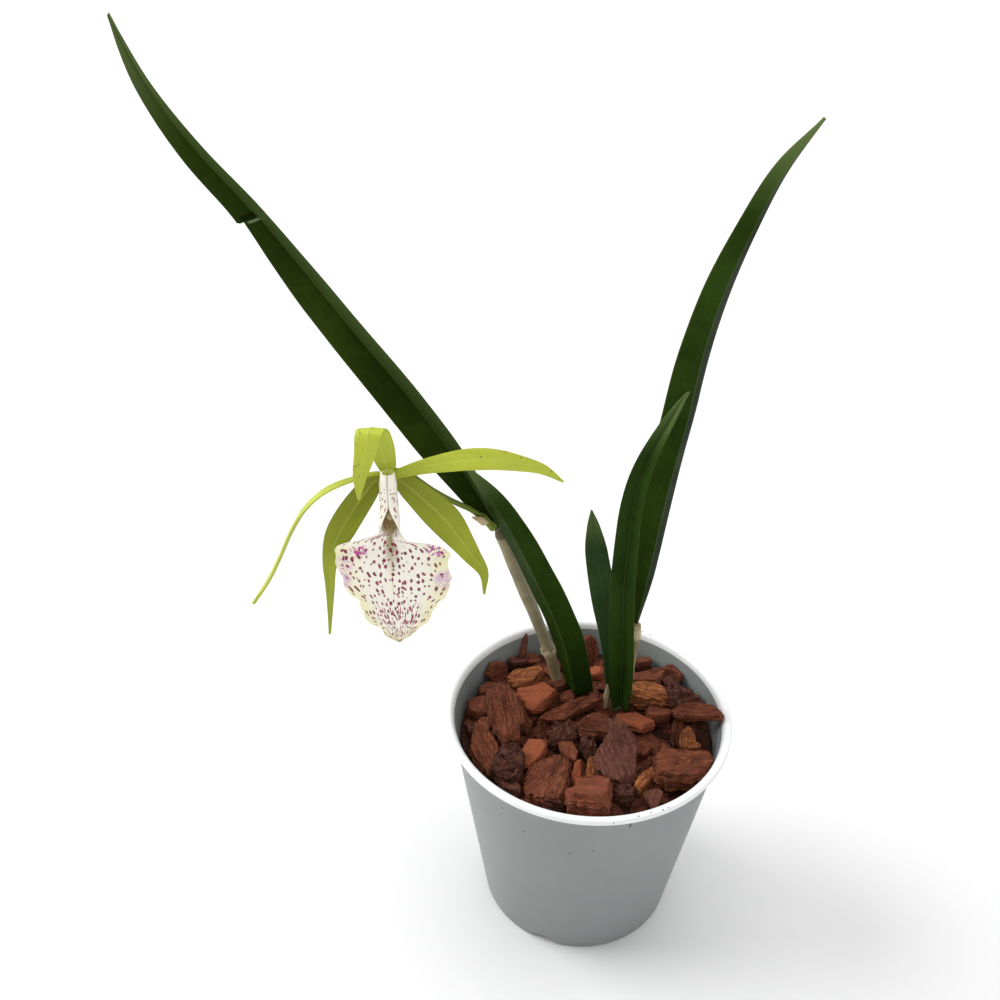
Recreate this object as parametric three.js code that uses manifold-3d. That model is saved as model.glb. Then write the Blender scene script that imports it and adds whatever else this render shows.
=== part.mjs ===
// A young brassocattleya orchid with one open flower, in a round nursery pot of bark chips.
// Millimetres, +Z up. The origin is the centre of the pot's flat base and the flower faces -Y.

import * as THREE from 'three';
import { mergeVertices } from 'three/addons/utils/BufferGeometryUtils.js';
import Module from 'manifold-3d';

const wasm = await Module();
wasm.setup();

// Driving dimensions
const FIT = 0.3; // clear gap that pieces which touch keep between their meshes
const CARVE = 0.4; // how much bigger than itself a piece is when it carves its seat in another

const POT_HEIGHT = 77;
const RIM_RADIUS = 45;
const RIM_INNER_RADIUS = 42.2;
const RIM_DEPTH = 2; // height of the rim's outer edge
const NECK_RADIUS = 42.7; // outside of the wall under the rim
const BASE_RADIUS = 31;
const WALL = 1.1;
const RIM_ROUND = 0.4;
const NECK_HEIGHT = POT_HEIGHT - RIM_DEPTH - 0.6; // where the wall's outside meets the rim
const RIM_STEP = NECK_HEIGHT - 1; // where the wall's inside meets the rim
const FOOT_WIDTH = 2.2;
const CHANNEL_HEIGHT = 3; // clearance under the raised ring of the floor
const CHANNEL_INNER_RADIUS = 17;
const CHANNEL_SLOPE = 1.5;
const FLOOR = 1.4;
const POT_SEGMENTS = 48;

const NOTCHES = 3;
const NOTCH_WIDTH = 9;
const NOTCH_HEIGHT = 2.4;
const NOTCH_ANGLE = -112; // degrees, where the front notch is
const DRAINS = 8;
const DRAIN_RADIUS = 2.4;
const DRAIN_RING_RADIUS = 23;

const BED_TOP = 66.5;
const BED_WAVE = 0.8;
const BED_RINGS = [34, 24, 12, 0];
const BED_SEGMENTS = 30;

const LEAF_THICKNESS = 1.5;
const SEPAL_THICKNESS = 0.9;
const LIP_THICKNESS = 0.8;
const EDGE_WIDTH = 0.3; // half the width that a blade keeps at its very tip
const STEM_FACING = [[0, -1, 0], [0, -1, 0]];

const LEAF_GREEN = 0x1d2f0c;
const CANE_BEIGE = 0x8d8468;
const SHEATH_BEIGE = 0xb9ab8a;
const RHIZOME_GREEN = 0x6b6a3c;
const SHOOT_GREEN = 0x5d6a34;
const STALK_GREEN = 0x7f8f2c;
const COLUMN_CREAM = 0xe4e2b0;
const LIP_CREAM = 0xfbf6e8;
const SEPAL_GREEN = 0xb4c62e;
const ROOT_WHITE = 0xb8b09a;
const BARK_BROWN = 0x6e3723;
const BARK_ORANGE = 0x8c4629;
const BARK_DARK = 0x452219;

const root = new THREE.Group();

// Small tools

const vec = (point) => new THREE.Vector3(...point);
const curveOf = (points) => new THREE.CatmullRomCurve3(points.map(vec), false, 'centripetal');
const degrees = THREE.MathUtils.degToRad;
const smooth = THREE.MathUtils.smoothstep;

function matte(color, roughness = 0.6) {
  return new THREE.MeshStandardMaterial({ color, roughness, metalness: 0 });
}

function add(name, geometry, material, parent = root) {
  const mesh = new THREE.Mesh(geometry, material);
  mesh.name = name;
  parent.add(mesh);
  return mesh;
}

function solidOf(geometry) {
  const bare = geometry.clone();
  bare.deleteAttribute('normal');
  bare.deleteAttribute('uv');
  const merged = mergeVertices(bare, 1e-3);
  return new wasm.Manifold(
    new wasm.Mesh({
      numProp: 3,
      vertProperties: merged.attributes.position.array,
      triVerts: new Uint32Array(merged.index.array),
    }),
  );
}

function geometryOf(solid) {
  const { vertProperties, triVerts } = solid.getMesh();
  const geometry = new THREE.BufferGeometry();
  geometry.setAttribute('position', new THREE.BufferAttribute(vertProperties, 3));
  geometry.setIndex(new THREE.BufferAttribute(triVerts, 1));
  return geometry;
}

function boxesMeet(a, b) {
  return [0, 1, 2].every((axis) => a.min[axis] < b.max[axis] && b.min[axis] < a.max[axis]);
}

// Takes the cutters out of a solid and keeps its largest piece.
function carve(solid, cutters) {
  const cut = cutters
    .filter((cutter) => boxesMeet(solid.boundingBox(), cutter.boundingBox()))
    .reduce((left, cutter) => left.subtract(cutter), solid);
  return cut.decompose().sort((a, b) => b.volume() - a.volume())[0];
}

// Closes a row of rings into one solid. Every ring has the same even count of points, and point j
// faces point count - j across the ring, so both ends are closed by strips between such pairs.
function loft(rings) {
  const count = rings[0].length;
  const last = (rings.length - 1) * count;
  const index = [];
  for (let start = 0; start < last; start += count) {
    for (let j = 0; j < count; j += 1) {
      const a = start + j;
      const b = start + ((j + 1) % count);
      index.push(a, a + count, b, b, a + count, b + count);
    }
  }
  for (let j = 0; j < count / 2; j += 1) {
    const near = [j, j + 1, count - j - 1, (count - j) % count];
    const faces = [];
    if (j < count / 2 - 1) faces.push([near[0], near[1], near[2]]);
    if (j > 0) faces.push([near[0], near[2], near[3]]);
    for (const [a, b, c] of faces) {
      index.push(a, b, c);
      index.push(last + a, last + c, last + b);
    }
  }
  const geometry = new THREE.BufferGeometry();
  const positions = rings.flat().flatMap((point) => point.toArray());
  geometry.setAttribute('position', new THREE.Float32BufferAttribute(positions, 3));
  geometry.setIndex(index);
  geometry.computeVertexNormals();
  return geometry;
}

// A value that changes along a piece: pairs of a share of its length and the value there.
function along(pairs) {
  return (t) => {
    const next = Math.max(1, pairs.findIndex(([share]) => share >= t));
    const [before, low] = pairs[next - 1];
    const [after, high] = pairs[next];
    return low + (high - low) * smooth(t, before, after);
  };
}

// The place, the side and the up direction of a piece at a share t of its length. facing lists
// directions, spread evenly along it, that its upper side looks in.
function frameAt(curve, facing, t) {
  const tangent = curve.getTangentAt(t);
  const place = t * (facing.length - 1);
  const from = Math.min(Math.floor(place), facing.length - 2);
  const up = vec(facing[from]).lerp(vec(facing[from + 1]), place - from);
  up.addScaledVector(tangent, -up.dot(tangent)).normalize();
  const side = new THREE.Vector3().crossVectors(up, tangent);
  return { at: curve.getPointAt(t), tangent, side, up };
}

// The frames of a piece from end to end. grow moves both ends outwards.
function framesOf(path, facing, stations, grow) {
  const curve = curveOf(path);
  return Array.from({ length: stations + 1 }, (_, s) => {
    const frame = frameAt(curve, facing, s / stations);
    const push = s === 0 ? -grow : s === stations ? grow : 0;
    frame.at.addScaledVector(frame.tangent, push);
    return frame;
  });
}

// A leaf, sepal, petal or lip: a thin sheet along its midrib, thinning towards its margins.
// fold is how far each half is folded up, or down where the keel faces up, and curl how far the
// whole width is rolled up, both in degrees. grow makes the sheet that much bigger all round.
function blade({ path, facing, half, thickness, fold = 0, curl = () => 0, stations = 14,
  columns = 4 }, grow = 0) {
  const body = thickness / 2 + grow;
  const shares = Array.from({ length: columns + 1 }, (_, c) => (2 * c) / columns - 1);
  const rings = framesOf(path, facing, stations, grow).map(({ at, side, up }, s) => {
    const width = Math.max(half(s / stations), EDGE_WIDTH) + grow;
    const roll = degrees(curl(s / stations)) / 2;
    const point = (share, layer) => {
      const [across, above] = roll > 0
        ? [(width / roll - layer) * Math.sin(share * roll),
          width / roll - (width / roll - layer) * Math.cos(share * roll)]
        : [width * share * Math.cos(degrees(fold)),
          width * Math.abs(share) * Math.sin(degrees(fold)) + layer];
      return at.clone().addScaledVector(side, across).addScaledVector(up, above);
    };
    const depth = (share) => Math.sqrt(1 - share ** 2) * body;
    const upper = shares.map((share) => point(share, depth(share)));
    const lower = shares.slice(1, -1).reverse().map((share) => point(share, -depth(share)));
    return [...upper, ...lower];
  });
  return loft(rings);
}

// A round stem whose radius changes along it.
function stem({ path, radius, stations = 8, sides = 10 }, grow = 0) {
  const rings = framesOf(path, STEM_FACING, stations, grow).map(({ at, side, up }, s) => {
    const size = radius(s / stations) + grow;
    return Array.from({ length: sides }, (_, j) => {
      const angle = Math.PI - (2 * Math.PI * j) / sides;
      return at.clone().addScaledVector(side, size * Math.cos(angle))
        .addScaledVector(up, size * Math.sin(angle));
    });
  });
  return loft(rings);
}

// The pot

function wallRadius(z) {
  return BASE_RADIUS + ((NECK_RADIUS - BASE_RADIUS) * z) / NECK_HEIGHT;
}

function potShell() {
  const foot = BASE_RADIUS - FOOT_WIDTH;
  const floor = CHANNEL_HEIGHT + FLOOR;
  const profile = [
    [0, 0],
    [CHANNEL_INNER_RADIUS, 0],
    [CHANNEL_INNER_RADIUS + CHANNEL_SLOPE, CHANNEL_HEIGHT],
    [foot - CHANNEL_SLOPE / 2, CHANNEL_HEIGHT],
    [foot, 0],
    [BASE_RADIUS, 0],
    [NECK_RADIUS, NECK_HEIGHT],
    [RIM_RADIUS - RIM_ROUND, POT_HEIGHT - RIM_DEPTH],
    [RIM_RADIUS, POT_HEIGHT - RIM_DEPTH + RIM_ROUND],
    [RIM_RADIUS, POT_HEIGHT - RIM_ROUND],
    [RIM_RADIUS - RIM_ROUND, POT_HEIGHT],
    [RIM_INNER_RADIUS + RIM_ROUND, POT_HEIGHT],
    [RIM_INNER_RADIUS, POT_HEIGHT - RIM_ROUND],
    [wallRadius(RIM_STEP) - WALL, RIM_STEP],
    [wallRadius(floor) - WALL, floor],
    [CHANNEL_INNER_RADIUS + CHANNEL_SLOPE - FLOOR, floor],
    [CHANNEL_INNER_RADIUS - FLOOR, FLOOR],
    [0, FLOOR],
  ];
  const points = profile.map(([r, z]) => new THREE.Vector2(r, z));
  return new THREE.LatheGeometry(points, POT_SEGMENTS).rotateX(Math.PI / 2);
}

function notchCutter(angle) {
  const arch = new THREE.Shape();
  arch.moveTo(-NOTCH_WIDTH / 2, -1);
  arch.lineTo(NOTCH_WIDTH / 2, -1);
  arch.quadraticCurveTo(NOTCH_WIDTH / 2 - 1.5, NOTCH_HEIGHT, 0, NOTCH_HEIGHT);
  arch.quadraticCurveTo(1.5 - NOTCH_WIDTH / 2, NOTCH_HEIGHT, -NOTCH_WIDTH / 2, -1);
  return new THREE.ExtrudeGeometry(arch, { depth: 6, bevelEnabled: false, curveSegments: 5 })
    .rotateX(Math.PI / 2)
    .rotateZ(Math.PI / 2)
    .translate(BASE_RADIUS - 4, 0, 0)
    .rotateZ(degrees(angle));
}

function drainCutter(angle) {
  return new THREE.CylinderGeometry(DRAIN_RADIUS, DRAIN_RADIUS, 8, 12)
    .rotateX(Math.PI / 2)
    .translate(DRAIN_RING_RADIUS, 0, CHANNEL_HEIGHT)
    .rotateZ(degrees(angle));
}

function pot() {
  const cutters = [];
  for (let i = 0; i < NOTCHES; i += 1) {
    cutters.push(solidOf(notchCutter(NOTCH_ANGLE + (360 * i) / NOTCHES)));
  }
  for (let i = 0; i < DRAINS; i += 1) {
    cutters.push(solidOf(drainCutter((360 * (i + 0.5)) / DRAINS)));
  }
  add('pot', geometryOf(carve(solidOf(potShell()), cutters)), matte(0x9aa09f, 0.5));
}

// The plant's stems. The rhizome creeps through the top of the bark, and each growth stands on it.

const RHIZOME = {
  path: [[-11.5, 23.5, 61], [-6, 20.8, 61.4], [0, 17.4, 61.6], [6, 14.2, 61.8], [14, 12.4, 62]],
  radius: (t) => 2.6 + 0.4 * Math.cos(6 * Math.PI * t),
  stations: 18,
};

const STEMS = {
  old_cane: {
    path: [[-7.9, 22.3, 64.8], [-11.6, 21, 80.9], [-17.2, 19, 99.3], [-24.1, 17, 119.4],
      [-29, 14.2, 136]],
    radius: (t) => 1.7 + 0.35 * Math.sin(Math.PI * t) + 0.2 * smooth(t, 0.8, 1),
    stations: 14,
    color: CANE_BEIGE,
  },
  short_cane: {
    path: [[-1.8, 18.2, 65], [-2, 18, 66], [-2.2, 17.6, 67]],
    radius: () => 2.1,
    stations: 3,
    color: CANE_BEIGE,
  },
  right_cane: {
    path: [[14.4, 13.8, 65.4], [14.4, 14.2, 76], [14.4, 14.6, 88], [14.2, 14.4, 100]],
    radius: (t) => 2 + 0.2 * Math.sin(Math.PI * t),
    stations: 8,
    color: SHEATH_BEIGE,
  },
  new_shoot: {
    path: [[10, 12.6, 65.4], [10.4, 12, 67], [10.8, 11.4, 69]],
    radius: (t) => 2 - 0.3 * t,
    stations: 4,
    color: SHOOT_GREEN,
  },
};

const ROOT_PATHS = [
  [[-10.6, 22.8, 57.4], [-14, 20, 50], [-20, 12, 40], [-22, 2, 28], [-16, -8, 18]],
  [[-3, 19.2, 57.6], [-2, 26, 48], [4, 30, 36], [10, 26, 24], [12, 16, 14]],
  [[2, 16.4, 57.8], [0, 8, 50], [-6, 0, 42], [-8, -14, 32], [-2, -22, 20]],
  [[7.5, 13.6, 58], [14, 8, 50], [22, 2, 40], [24, -8, 30], [18, -16, 18]],
  [[12.8, 12.6, 57.4], [20, 16, 50], [28, 14, 40], [28, 6, 28], [22, 0, 14]],
];
const ROOT = { radius: () => 1.5, stations: 12, sides: 8 };

// The leaves. Each path is a midrib from the foot of the leaf to its tip.

const LEAVES = {
  leaf_1: {
    path: [[-29.4, 14.2, 136.8], [-42.4, 12, 162.8], [-55.3, 9, 184.7], [-67.9, 5.8, 204.3],
      [-79.4, 3, 222.3], [-90.3, 0, 238.8], [-101.1, -2.6, 253.5], [-109.5, -5.3, 268.4],
      [-114.8, -8, 283.6]],
    facing: [[-0.1, -0.97, -0.2], [-0.1, -0.97, -0.2], [0.1, -0.99, -0.1]],
    half: along([[0, 1.4], [0.07, 5], [0.24, 8.2], [0.5, 6.8], [0.62, 5], [0.88, 2.7], [1, 0.3]]),
    fold: 40,
    stations: 20,
  },
  leaf_2: {
    path: [[-2.2, 16.1, 68.5], [-5.1, 14.5, 81.7], [-8.7, 13.1, 96.3], [-18.1, 10.8, 121.6],
      [-24.7, 8.5, 137.6], [-33, 4.7, 155.3], [-39.5, 2, 166.3]],
    facing: [[-0.47, -0.87, -0.17], [-0.01, -0.96, -0.27]],
    half: along([[0, 5.4], [0.2, 6.4], [0.5, 5.7], [0.75, 4.4], [1, 0.3]]),
    fold: -25,
  },
  leaf_3: {
    path: [[14.2, 14.4, 101], [17.2, 15.6, 126.9], [19.7, 16.9, 150], [22.8, 18.4, 171.4],
      [25.4, 20.4, 191.2], [29.3, 22.1, 209.7], [34.6, 22.8, 226.9], [40.7, 23.4, 242.6],
      [49.2, 24, 256]],
    facing: [[0.2, -0.98, 0], [0.36, -0.93, 0], [0.13, -0.99, 0]],
    half: along([[0, 1.6], [0.12, 4.2], [0.35, 5.3], [0.55, 5.6], [0.75, 4.2], [0.9, 2.4], [1, 0.3]]),
    fold: -35,
    stations: 18,
  },
  leaf_4: {
    path: [[11.5, 10.4, 69.8], [10.7, 9.8, 88.4], [9.7, 9.5, 105.2], [8.9, 9.2, 121.2],
      [9, 9, 136.4], [9.6, 8.8, 150.8], [12.1, 8.5, 163.9], [20.7, 8, 186.8]],
    facing: [[-0.28, -0.96, 0], [-0.32, -0.95, 0], [-0.66, -0.72, 0.2]],
    half: along([[0, 3.6], [0.15, 4.8], [0.4, 4.5], [0.75, 3.3], [0.9, 2.3], [1, 0.3]]),
    fold: 40,
    stations: 16,
  },
  leaf_5: {
    path: [[9, 14.3, 69.4], [7, 15.8, 90.8], [4, 17.4, 107.5], [0.9, 19.1, 123.3],
      [-1.6, 21, 138.5]],
    facing: [[0, -1, 0.1], [0, -1, 0.1]],
    half: along([[0, 1.7], [0.3, 2.6], [0.6, 3.3], [0.85, 2.3], [1, 0.3]]),
    fold: 20,
    stations: 12,
  },
};

// Papery scales: one wraps the flower stalk's joint, the other stands at the foot of leaf 4.

const SCALES = {
  stalk_bract: {
    path: [[-33.7, 7.4, 142], [-35.1, 6.5, 144], [-36.9, 5.3, 146.2]],
    facing: [[0.3, 0.8, 0.3], [0.3, 0.8, 0.3]],
    half: along([[0, 1.9], [0.5, 1.9], [1, 0.4]]),
    curl: () => 110,
    stations: 5,
  },
  shoot_sheath: {
    path: [[7.2, 11, 68], [6.6, 10.2, 73], [6.6, 9.6, 79]],
    facing: [[0.5, -0.8, 0], [0.5, -0.8, 0]],
    half: along([[0, 1.3], [0.5, 1.2], [1, 0.3]]),
    fold: 10,
    stations: 6,
  },
};
const SCALE_THICKNESS = 0.5;

// A thin collar of dry sheath round the old cane's lower joint.
const COLLAR = { share: 0.24, inner: 2.3, outer: 2.8, height: 2.6 };

// The flower hangs on the ovary, whose thick end is the point that every flower part starts from.

const STALKS = {
  peduncle: {
    path: [[-31, 11, 138.6], [-32.6, 9.8, 141.4], [-34.4, 8.4, 144.2]],
    radius: () => 1.2,
    stations: 4,
    sides: 8,
    color: STALK_GREEN,
  },
  ovary: {
    path: [[-35, 8, 145], [-37.7, 6, 148.5], [-42.6, 2.8, 153.3], [-47.4, -0.8, 158.9],
      [-53.5, -5.2, 166.5], [-58.2, -9.2, 170]],
    radius: (t) => 0.8 + 0.9 * smooth(t, 0.75, 1),
    stations: 12,
    sides: 8,
    color: STALK_GREEN,
  },
  column: {
    path: [[-59, -11.2, 168.6], [-58.6, -13, 165.8], [-58.3, -15, 162.6]],
    radius: (t) => 1.1 + 0.2 * t,
    stations: 5,
    sides: 8,
    color: COLUMN_CREAM,
  },
};
const ANTHER = { at: [-58.1, -16, 161], radius: 1.2 };

const SEPALS = {
  dorsal_sepal: {
    path: [[-58.8, -10, 170.9], [-59.8, -12, 177.2], [-59.3, -13.6, 182.2], [-59.9, -16, 187],
      [-62.6, -19.8, 188.8], [-64.4, -21.4, 183], [-65.4, -22.8, 177.2], [-65, -24, 171.2]],
    facing: [[-0.1, -0.9, 0.3], [-0.2, -0.9, 0], [-0.5, 0.2, -0.8], [-0.5, 0.8, -0.3],
      [-0.5, 0.9, -0.2]],
    half: along([[0, 1.4], [0.15, 2.8], [0.5, 2.9], [0.75, 2.4], [1, 0.3]]),
    stations: 16,
  },
  petal_right: {
    path: [[-56.2, -10.8, 170.8], [-50.3, -12.4, 173.9], [-43.9, -13.9, 176.5],
      [-37.5, -14.2, 177.9], [-31.1, -14.5, 178.3], [-24.7, -13.8, 176.9], [-18.4, -12.9, 174.6],
      [-12.7, -12, 170.3]],
    facing: [[0, -0.9, 0.4], [0, -0.9, 0.4]],
    half: along([[0, 1.1], [0.45, 2.8], [0.85, 1.4], [1, 0.3]]),
    fold: 8,
  },
  petal_left: {
    path: [[-61.7, -10.8, 170.6], [-68.6, -12.2, 169.2], [-75.2, -13.4, 166.3],
      [-80.9, -13.4, 160.5], [-85.3, -13.3, 152.8], [-89, -13.2, 144.2], [-93.1, -13.1, 135.6],
      [-98, -13, 127.6]],
    facing: [[-0.1, -0.4, 0.9], [-0.9, -0.4, 0.3]],
    half: along([[0, 1.1], [0.45, 2.8], [0.85, 1.4], [1, 0.3]]),
    fold: 8,
  },
  lateral_sepal_left: {
    path: [[-62, -11, 168.4], [-66.4, -12.4, 162.7], [-69.9, -13.9, 157.3], [-73.1, -14.9, 151.2],
      [-74.8, -15.8, 144.4], [-75.2, -16.3, 136.7], [-75.7, -16.6, 128.6], [-76.3, -17, 120.6]],
    facing: [[-0.2, -0.9, 0.3], [-0.5, -0.85, 0.1]],
    half: along([[0, 1.3], [0.3, 3.4], [0.6, 1.8], [1, 0.3]]),
    fold: 12,
  },
  lateral_sepal_right: {
    path: [[-55.6, -10.4, 168.4], [-52.2, -11.5, 166.1], [-47.9, -12.1, 162], [-43.7, -12.5, 157.4],
      [-40.1, -12.4, 151.8], [-36.7, -12.2, 145.9], [-33.3, -12.1, 139.7], [-33, -12, 132.2]],
    facing: [[0.2, -0.9, 0.3], [0.4, -0.9, 0.1]],
    half: along([[0, 1.2], [0.35, 3.5], [0.7, 1.8], [1, 0.3]]),
    fold: 14,
  },
};

// The lip starts as a tube round the column and opens into the spotted blade.
const LIP = {
  path: [[-58.8, -9.6, 165.9], [-58.5, -12, 161.8], [-58.2, -15, 157.4], [-57.9, -17.6, 152.8],
    [-57.8, -19.2, 146.6], [-57.5, -20.4, 136], [-56.2, -20.4, 121.2]],
  facing: [[0, -0.84, 0.55], [0, -0.92, 0.36], [0, -0.99, 0.12]],
  half: along([[0, 6.8], [0.24, 7.4], [0.44, 15.4], [0.58, 15.4], [0.72, 12.8], [0.86, 7.6],
    [1, 0.5]]),
  curl: (t) => 16 + 310 * (1 - smooth(t, 0.1, 0.42)),
  thickness: LIP_THICKNESS,
  stations: 20,
  columns: 10,
};

function collar() {
  const { share, inner, outer, height } = COLLAR;
  const profile = [[inner, 0], [outer, 0], [outer + 0.2, height / 2], [outer - 0.1, height],
    [inner, height], [inner, 0]];
  const geometry = new THREE.LatheGeometry(profile.map(([r, z]) => new THREE.Vector2(r, z)), 12);
  const mesh = add('cane_sheath', geometry, matte(SHEATH_BEIGE, 0.7));
  const { at, tangent } = frameAt(curveOf(STEMS.old_cane.path), STEM_FACING, share);
  mesh.position.copy(at);
  mesh.quaternion.setFromUnitVectors(new THREE.Vector3(0, 1, 0), tangent);
}

function flower() {
  for (const [name, spec] of Object.entries(SEPALS)) {
    add(name, blade({ ...spec, thickness: SEPAL_THICKNESS }), matte(SEPAL_GREEN, 0.5));
  }
  add('lip', blade(LIP), matte(LIP_CREAM, 0.5));
  const cap = new THREE.SphereGeometry(ANTHER.radius, 10, 8);
  add('anther_cap', cap, matte(COLUMN_CREAM, 0.4)).position.set(...ANTHER.at);
}

function plant() {
  add('rhizome', stem(RHIZOME), matte(RHIZOME_GREEN));
  ROOT_PATHS.forEach((path, i) => {
    add(`root_${i + 1}`, stem({ ...ROOT, path }), matte(ROOT_WHITE, 0.8));
  });
  for (const [name, spec] of Object.entries({ ...STEMS, ...STALKS })) {
    add(name, stem(spec), matte(spec.color));
  }
  for (const [name, spec] of Object.entries(LEAVES)) {
    add(name, blade({ ...spec, thickness: LEAF_THICKNESS }), matte(LEAF_GREEN, 0.45));
  }
  for (const [name, spec] of Object.entries(SCALES)) {
    add(name, blade({ ...spec, thickness: SCALE_THICKNESS }), matte(SHEATH_BEIGE, 0.7));
  }
  collar();
  flower();
}

// Bark chips, highest first: a chip that lies lower is carved where a higher one rests on it.
// at is its middle, size its length, width and thickness, turn its heading seen from above,
// lean its slope along and across that heading, all angles in degrees.

const CHIPS = [
  { name: 'chip_over_rim', at: [35.2, 1.2, 75.6], size: [19, 4.6, 3.2], turn: -24, lean: [20, 0] },
  { name: 'chip_long_slanted', at: [-4, 5.9, 70.4], size: [21, 4.6, 3.6], turn: 29, lean: [4, 10] },
  { name: 'chip_big_layered', at: [8.7, -13.5, 71], size: [23, 11, 6], turn: -78, lean: [-14, 6] },
  { name: 'chip_front_orange', at: [-0.6, -29, 71.2], size: [13, 13, 6], turn: 10, lean: [0, -24] },
  { name: 'chip_rectangular', at: [28, -18.6, 71.4], size: [17, 12, 7], turn: 4, lean: [2, -8] },
  { name: 'chip_big_oval', at: [-24.4, 2.6, 70.6], size: [21, 13, 6], turn: 102, lean: [8, 4] },
  { name: 'chip_orange_right', at: [16.6, 1.6, 70], size: [12, 10, 3.4], turn: -20, lean: [6, -22] },
  { name: 'chip_orange_left', at: [-13.3, 13.2, 69.6], size: [12, 11, 4], turn: 14, lean: [4, -16] },
  { name: 'chip_pointed', at: [-4.4, -22.6, 71.4], size: [10, 3, 2], turn: 80, lean: [62, 0] },
  { name: 'chip_curved', at: [2.6, -1.4, 69.6], size: [10, 8, 4], turn: -12, lean: [0, -10] },
  { name: 'chip_textured', at: [21.9, 13.5, 70], size: [14, 10, 6], turn: -24, lean: [6, -12] },
  { name: 'chip_polygon', at: [-16.3, -13.7, 69.6], size: [9, 9, 4], turn: 30, lean: [8, -20] },
  { name: 'chip_upright_right', at: [31.4, -5.8, 70.4], size: [9, 6, 4.4], turn: 75, lean: [50, 0] },
  { name: 'chip_wedge', at: [16.4, -22.4, 69], size: [10, 5, 4], turn: 34, lean: [10, -10] },
  { name: 'chip_front_left', at: [-12.4, -24.6, 69.2], size: [15, 14, 6], turn: 60, lean: [4, -10] },
  { name: 'chip_wrinkled', at: [-24.6, -19.2, 69.6], size: [11, 10, 8], turn: 20, lean: [0, 0] },
  { name: 'chip_middle', at: [-7.1, -7.7, 68.6], size: [12, 9, 6], turn: 32, lean: [0, 0] },
  { name: 'chip_light_left', at: [-18.6, 22, 68.8], size: [13, 8, 4], turn: 16, lean: [6, -8] },
  { name: 'chip_long_flat', at: [-29, 16.6, 68.4], size: [10, 6, 3.4], turn: -6, lean: [0, -6] },
  { name: 'chip_left_wall', at: [-34.2, 6.2, 68.4], size: [9, 8, 5], turn: 10, lean: [0, 0] },
  { name: 'chip_left_diagonal', at: [-31, -9.6, 68.2], size: [19, 7, 5], turn: -66, lean: [0, 10] },
  { name: 'chip_rear_flat', at: [-17.4, 32.2, 67.4], size: [9, 6, 3], turn: 8, lean: [0, -6] },
  { name: 'chip_standing_left', at: [-28.6, 25, 70], size: [9, 7, 3], turn: 40, lean: [0, 66] },
  { name: 'chip_sliver', at: [-20, 33.4, 73], size: [12, 2.4, 1.4], turn: 60, lean: [74, 0] },
  { name: 'chip_rear_right', at: [23, 22.4, 68.6], size: [13, 8, 4], turn: 6, lean: [8, -12] },
  { name: 'chip_rough', at: [32.6, 11.6, 68.8], size: [12, 10, 6], turn: -10, lean: [0, -8] },
  { name: 'chip_leaning', at: [30, 25.6, 70], size: [10, 6, 2.4], turn: -50, lean: [8, 58] },
  { name: 'chip_tall_back', at: [2.4, 34.6, 71.6], size: [13, 6, 3], turn: 100, lean: [64, 0] },
  { name: 'chip_triangle', at: [18.4, -31.4, 70.8], size: [9, 6, 2.4], turn: 70, lean: [16, 0] },
];
const CHIP_CORNERS = 7;
const CHIP_LEVELS = [[-0.5, 0.92], [0, 1], [0.5, 0.8]]; // height and width of its three outlines
const CHIP_COLORS = [BARK_ORANGE, BARK_BROWN, BARK_DARK];

// The corners stand at uneven angles and distances, which the chip's number sets.
function chipGeometry([length, width, thickness], number, grow = 0) {
  const corners = Array.from({ length: CHIP_CORNERS }, (_, c) => {
    const uneven = 0.09 * Math.sin(5.3 * number + 5.8 * c) + 0.06 * Math.sin(6.2 * number * c);
    const angle = (2 * Math.PI * (c + 2 * uneven)) / CHIP_CORNERS;
    return new THREE.Vector2(Math.cos(angle), Math.sin(angle)).multiplyScalar(1 + uneven);
  });
  const positions = CHIP_LEVELS.flatMap(([level, share]) => corners.flatMap(({ x, y }) => [
    x * share * (length / 2 + grow),
    y * share * (width / 2 + grow),
    level * (thickness + 2 * grow),
  ]));
  positions.push(0, 0, -thickness / 2 - grow, 0, 0, thickness / 2 + grow);
  const index = [];
  const [bottom, top] = [CHIP_LEVELS.length * CHIP_CORNERS, CHIP_LEVELS.length * CHIP_CORNERS + 1];
  const last = (CHIP_LEVELS.length - 1) * CHIP_CORNERS;
  for (let j = 0; j < CHIP_CORNERS; j += 1) {
    const k = (j + 1) % CHIP_CORNERS;
    for (let start = 0; start < last; start += CHIP_CORNERS) {
      index.push(start + j, start + k, start + CHIP_CORNERS + j);
      index.push(start + k, start + CHIP_CORNERS + k, start + CHIP_CORNERS + j);
    }
    index.push(k, j, bottom, last + j, last + k, top);
  }
  const geometry = new THREE.BufferGeometry();
  geometry.setAttribute('position', new THREE.Float32BufferAttribute(positions, 3));
  geometry.setIndex(index);
  return geometry;
}

function chipPose({ at, turn, lean: [along, across] }) {
  return new THREE.Matrix4().makeTranslation(...at)
    .multiply(new THREE.Matrix4().makeRotationZ(degrees(turn)))
    .multiply(new THREE.Matrix4().makeRotationY(degrees(-along)))
    .multiply(new THREE.Matrix4().makeRotationX(degrees(across)));
}

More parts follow.
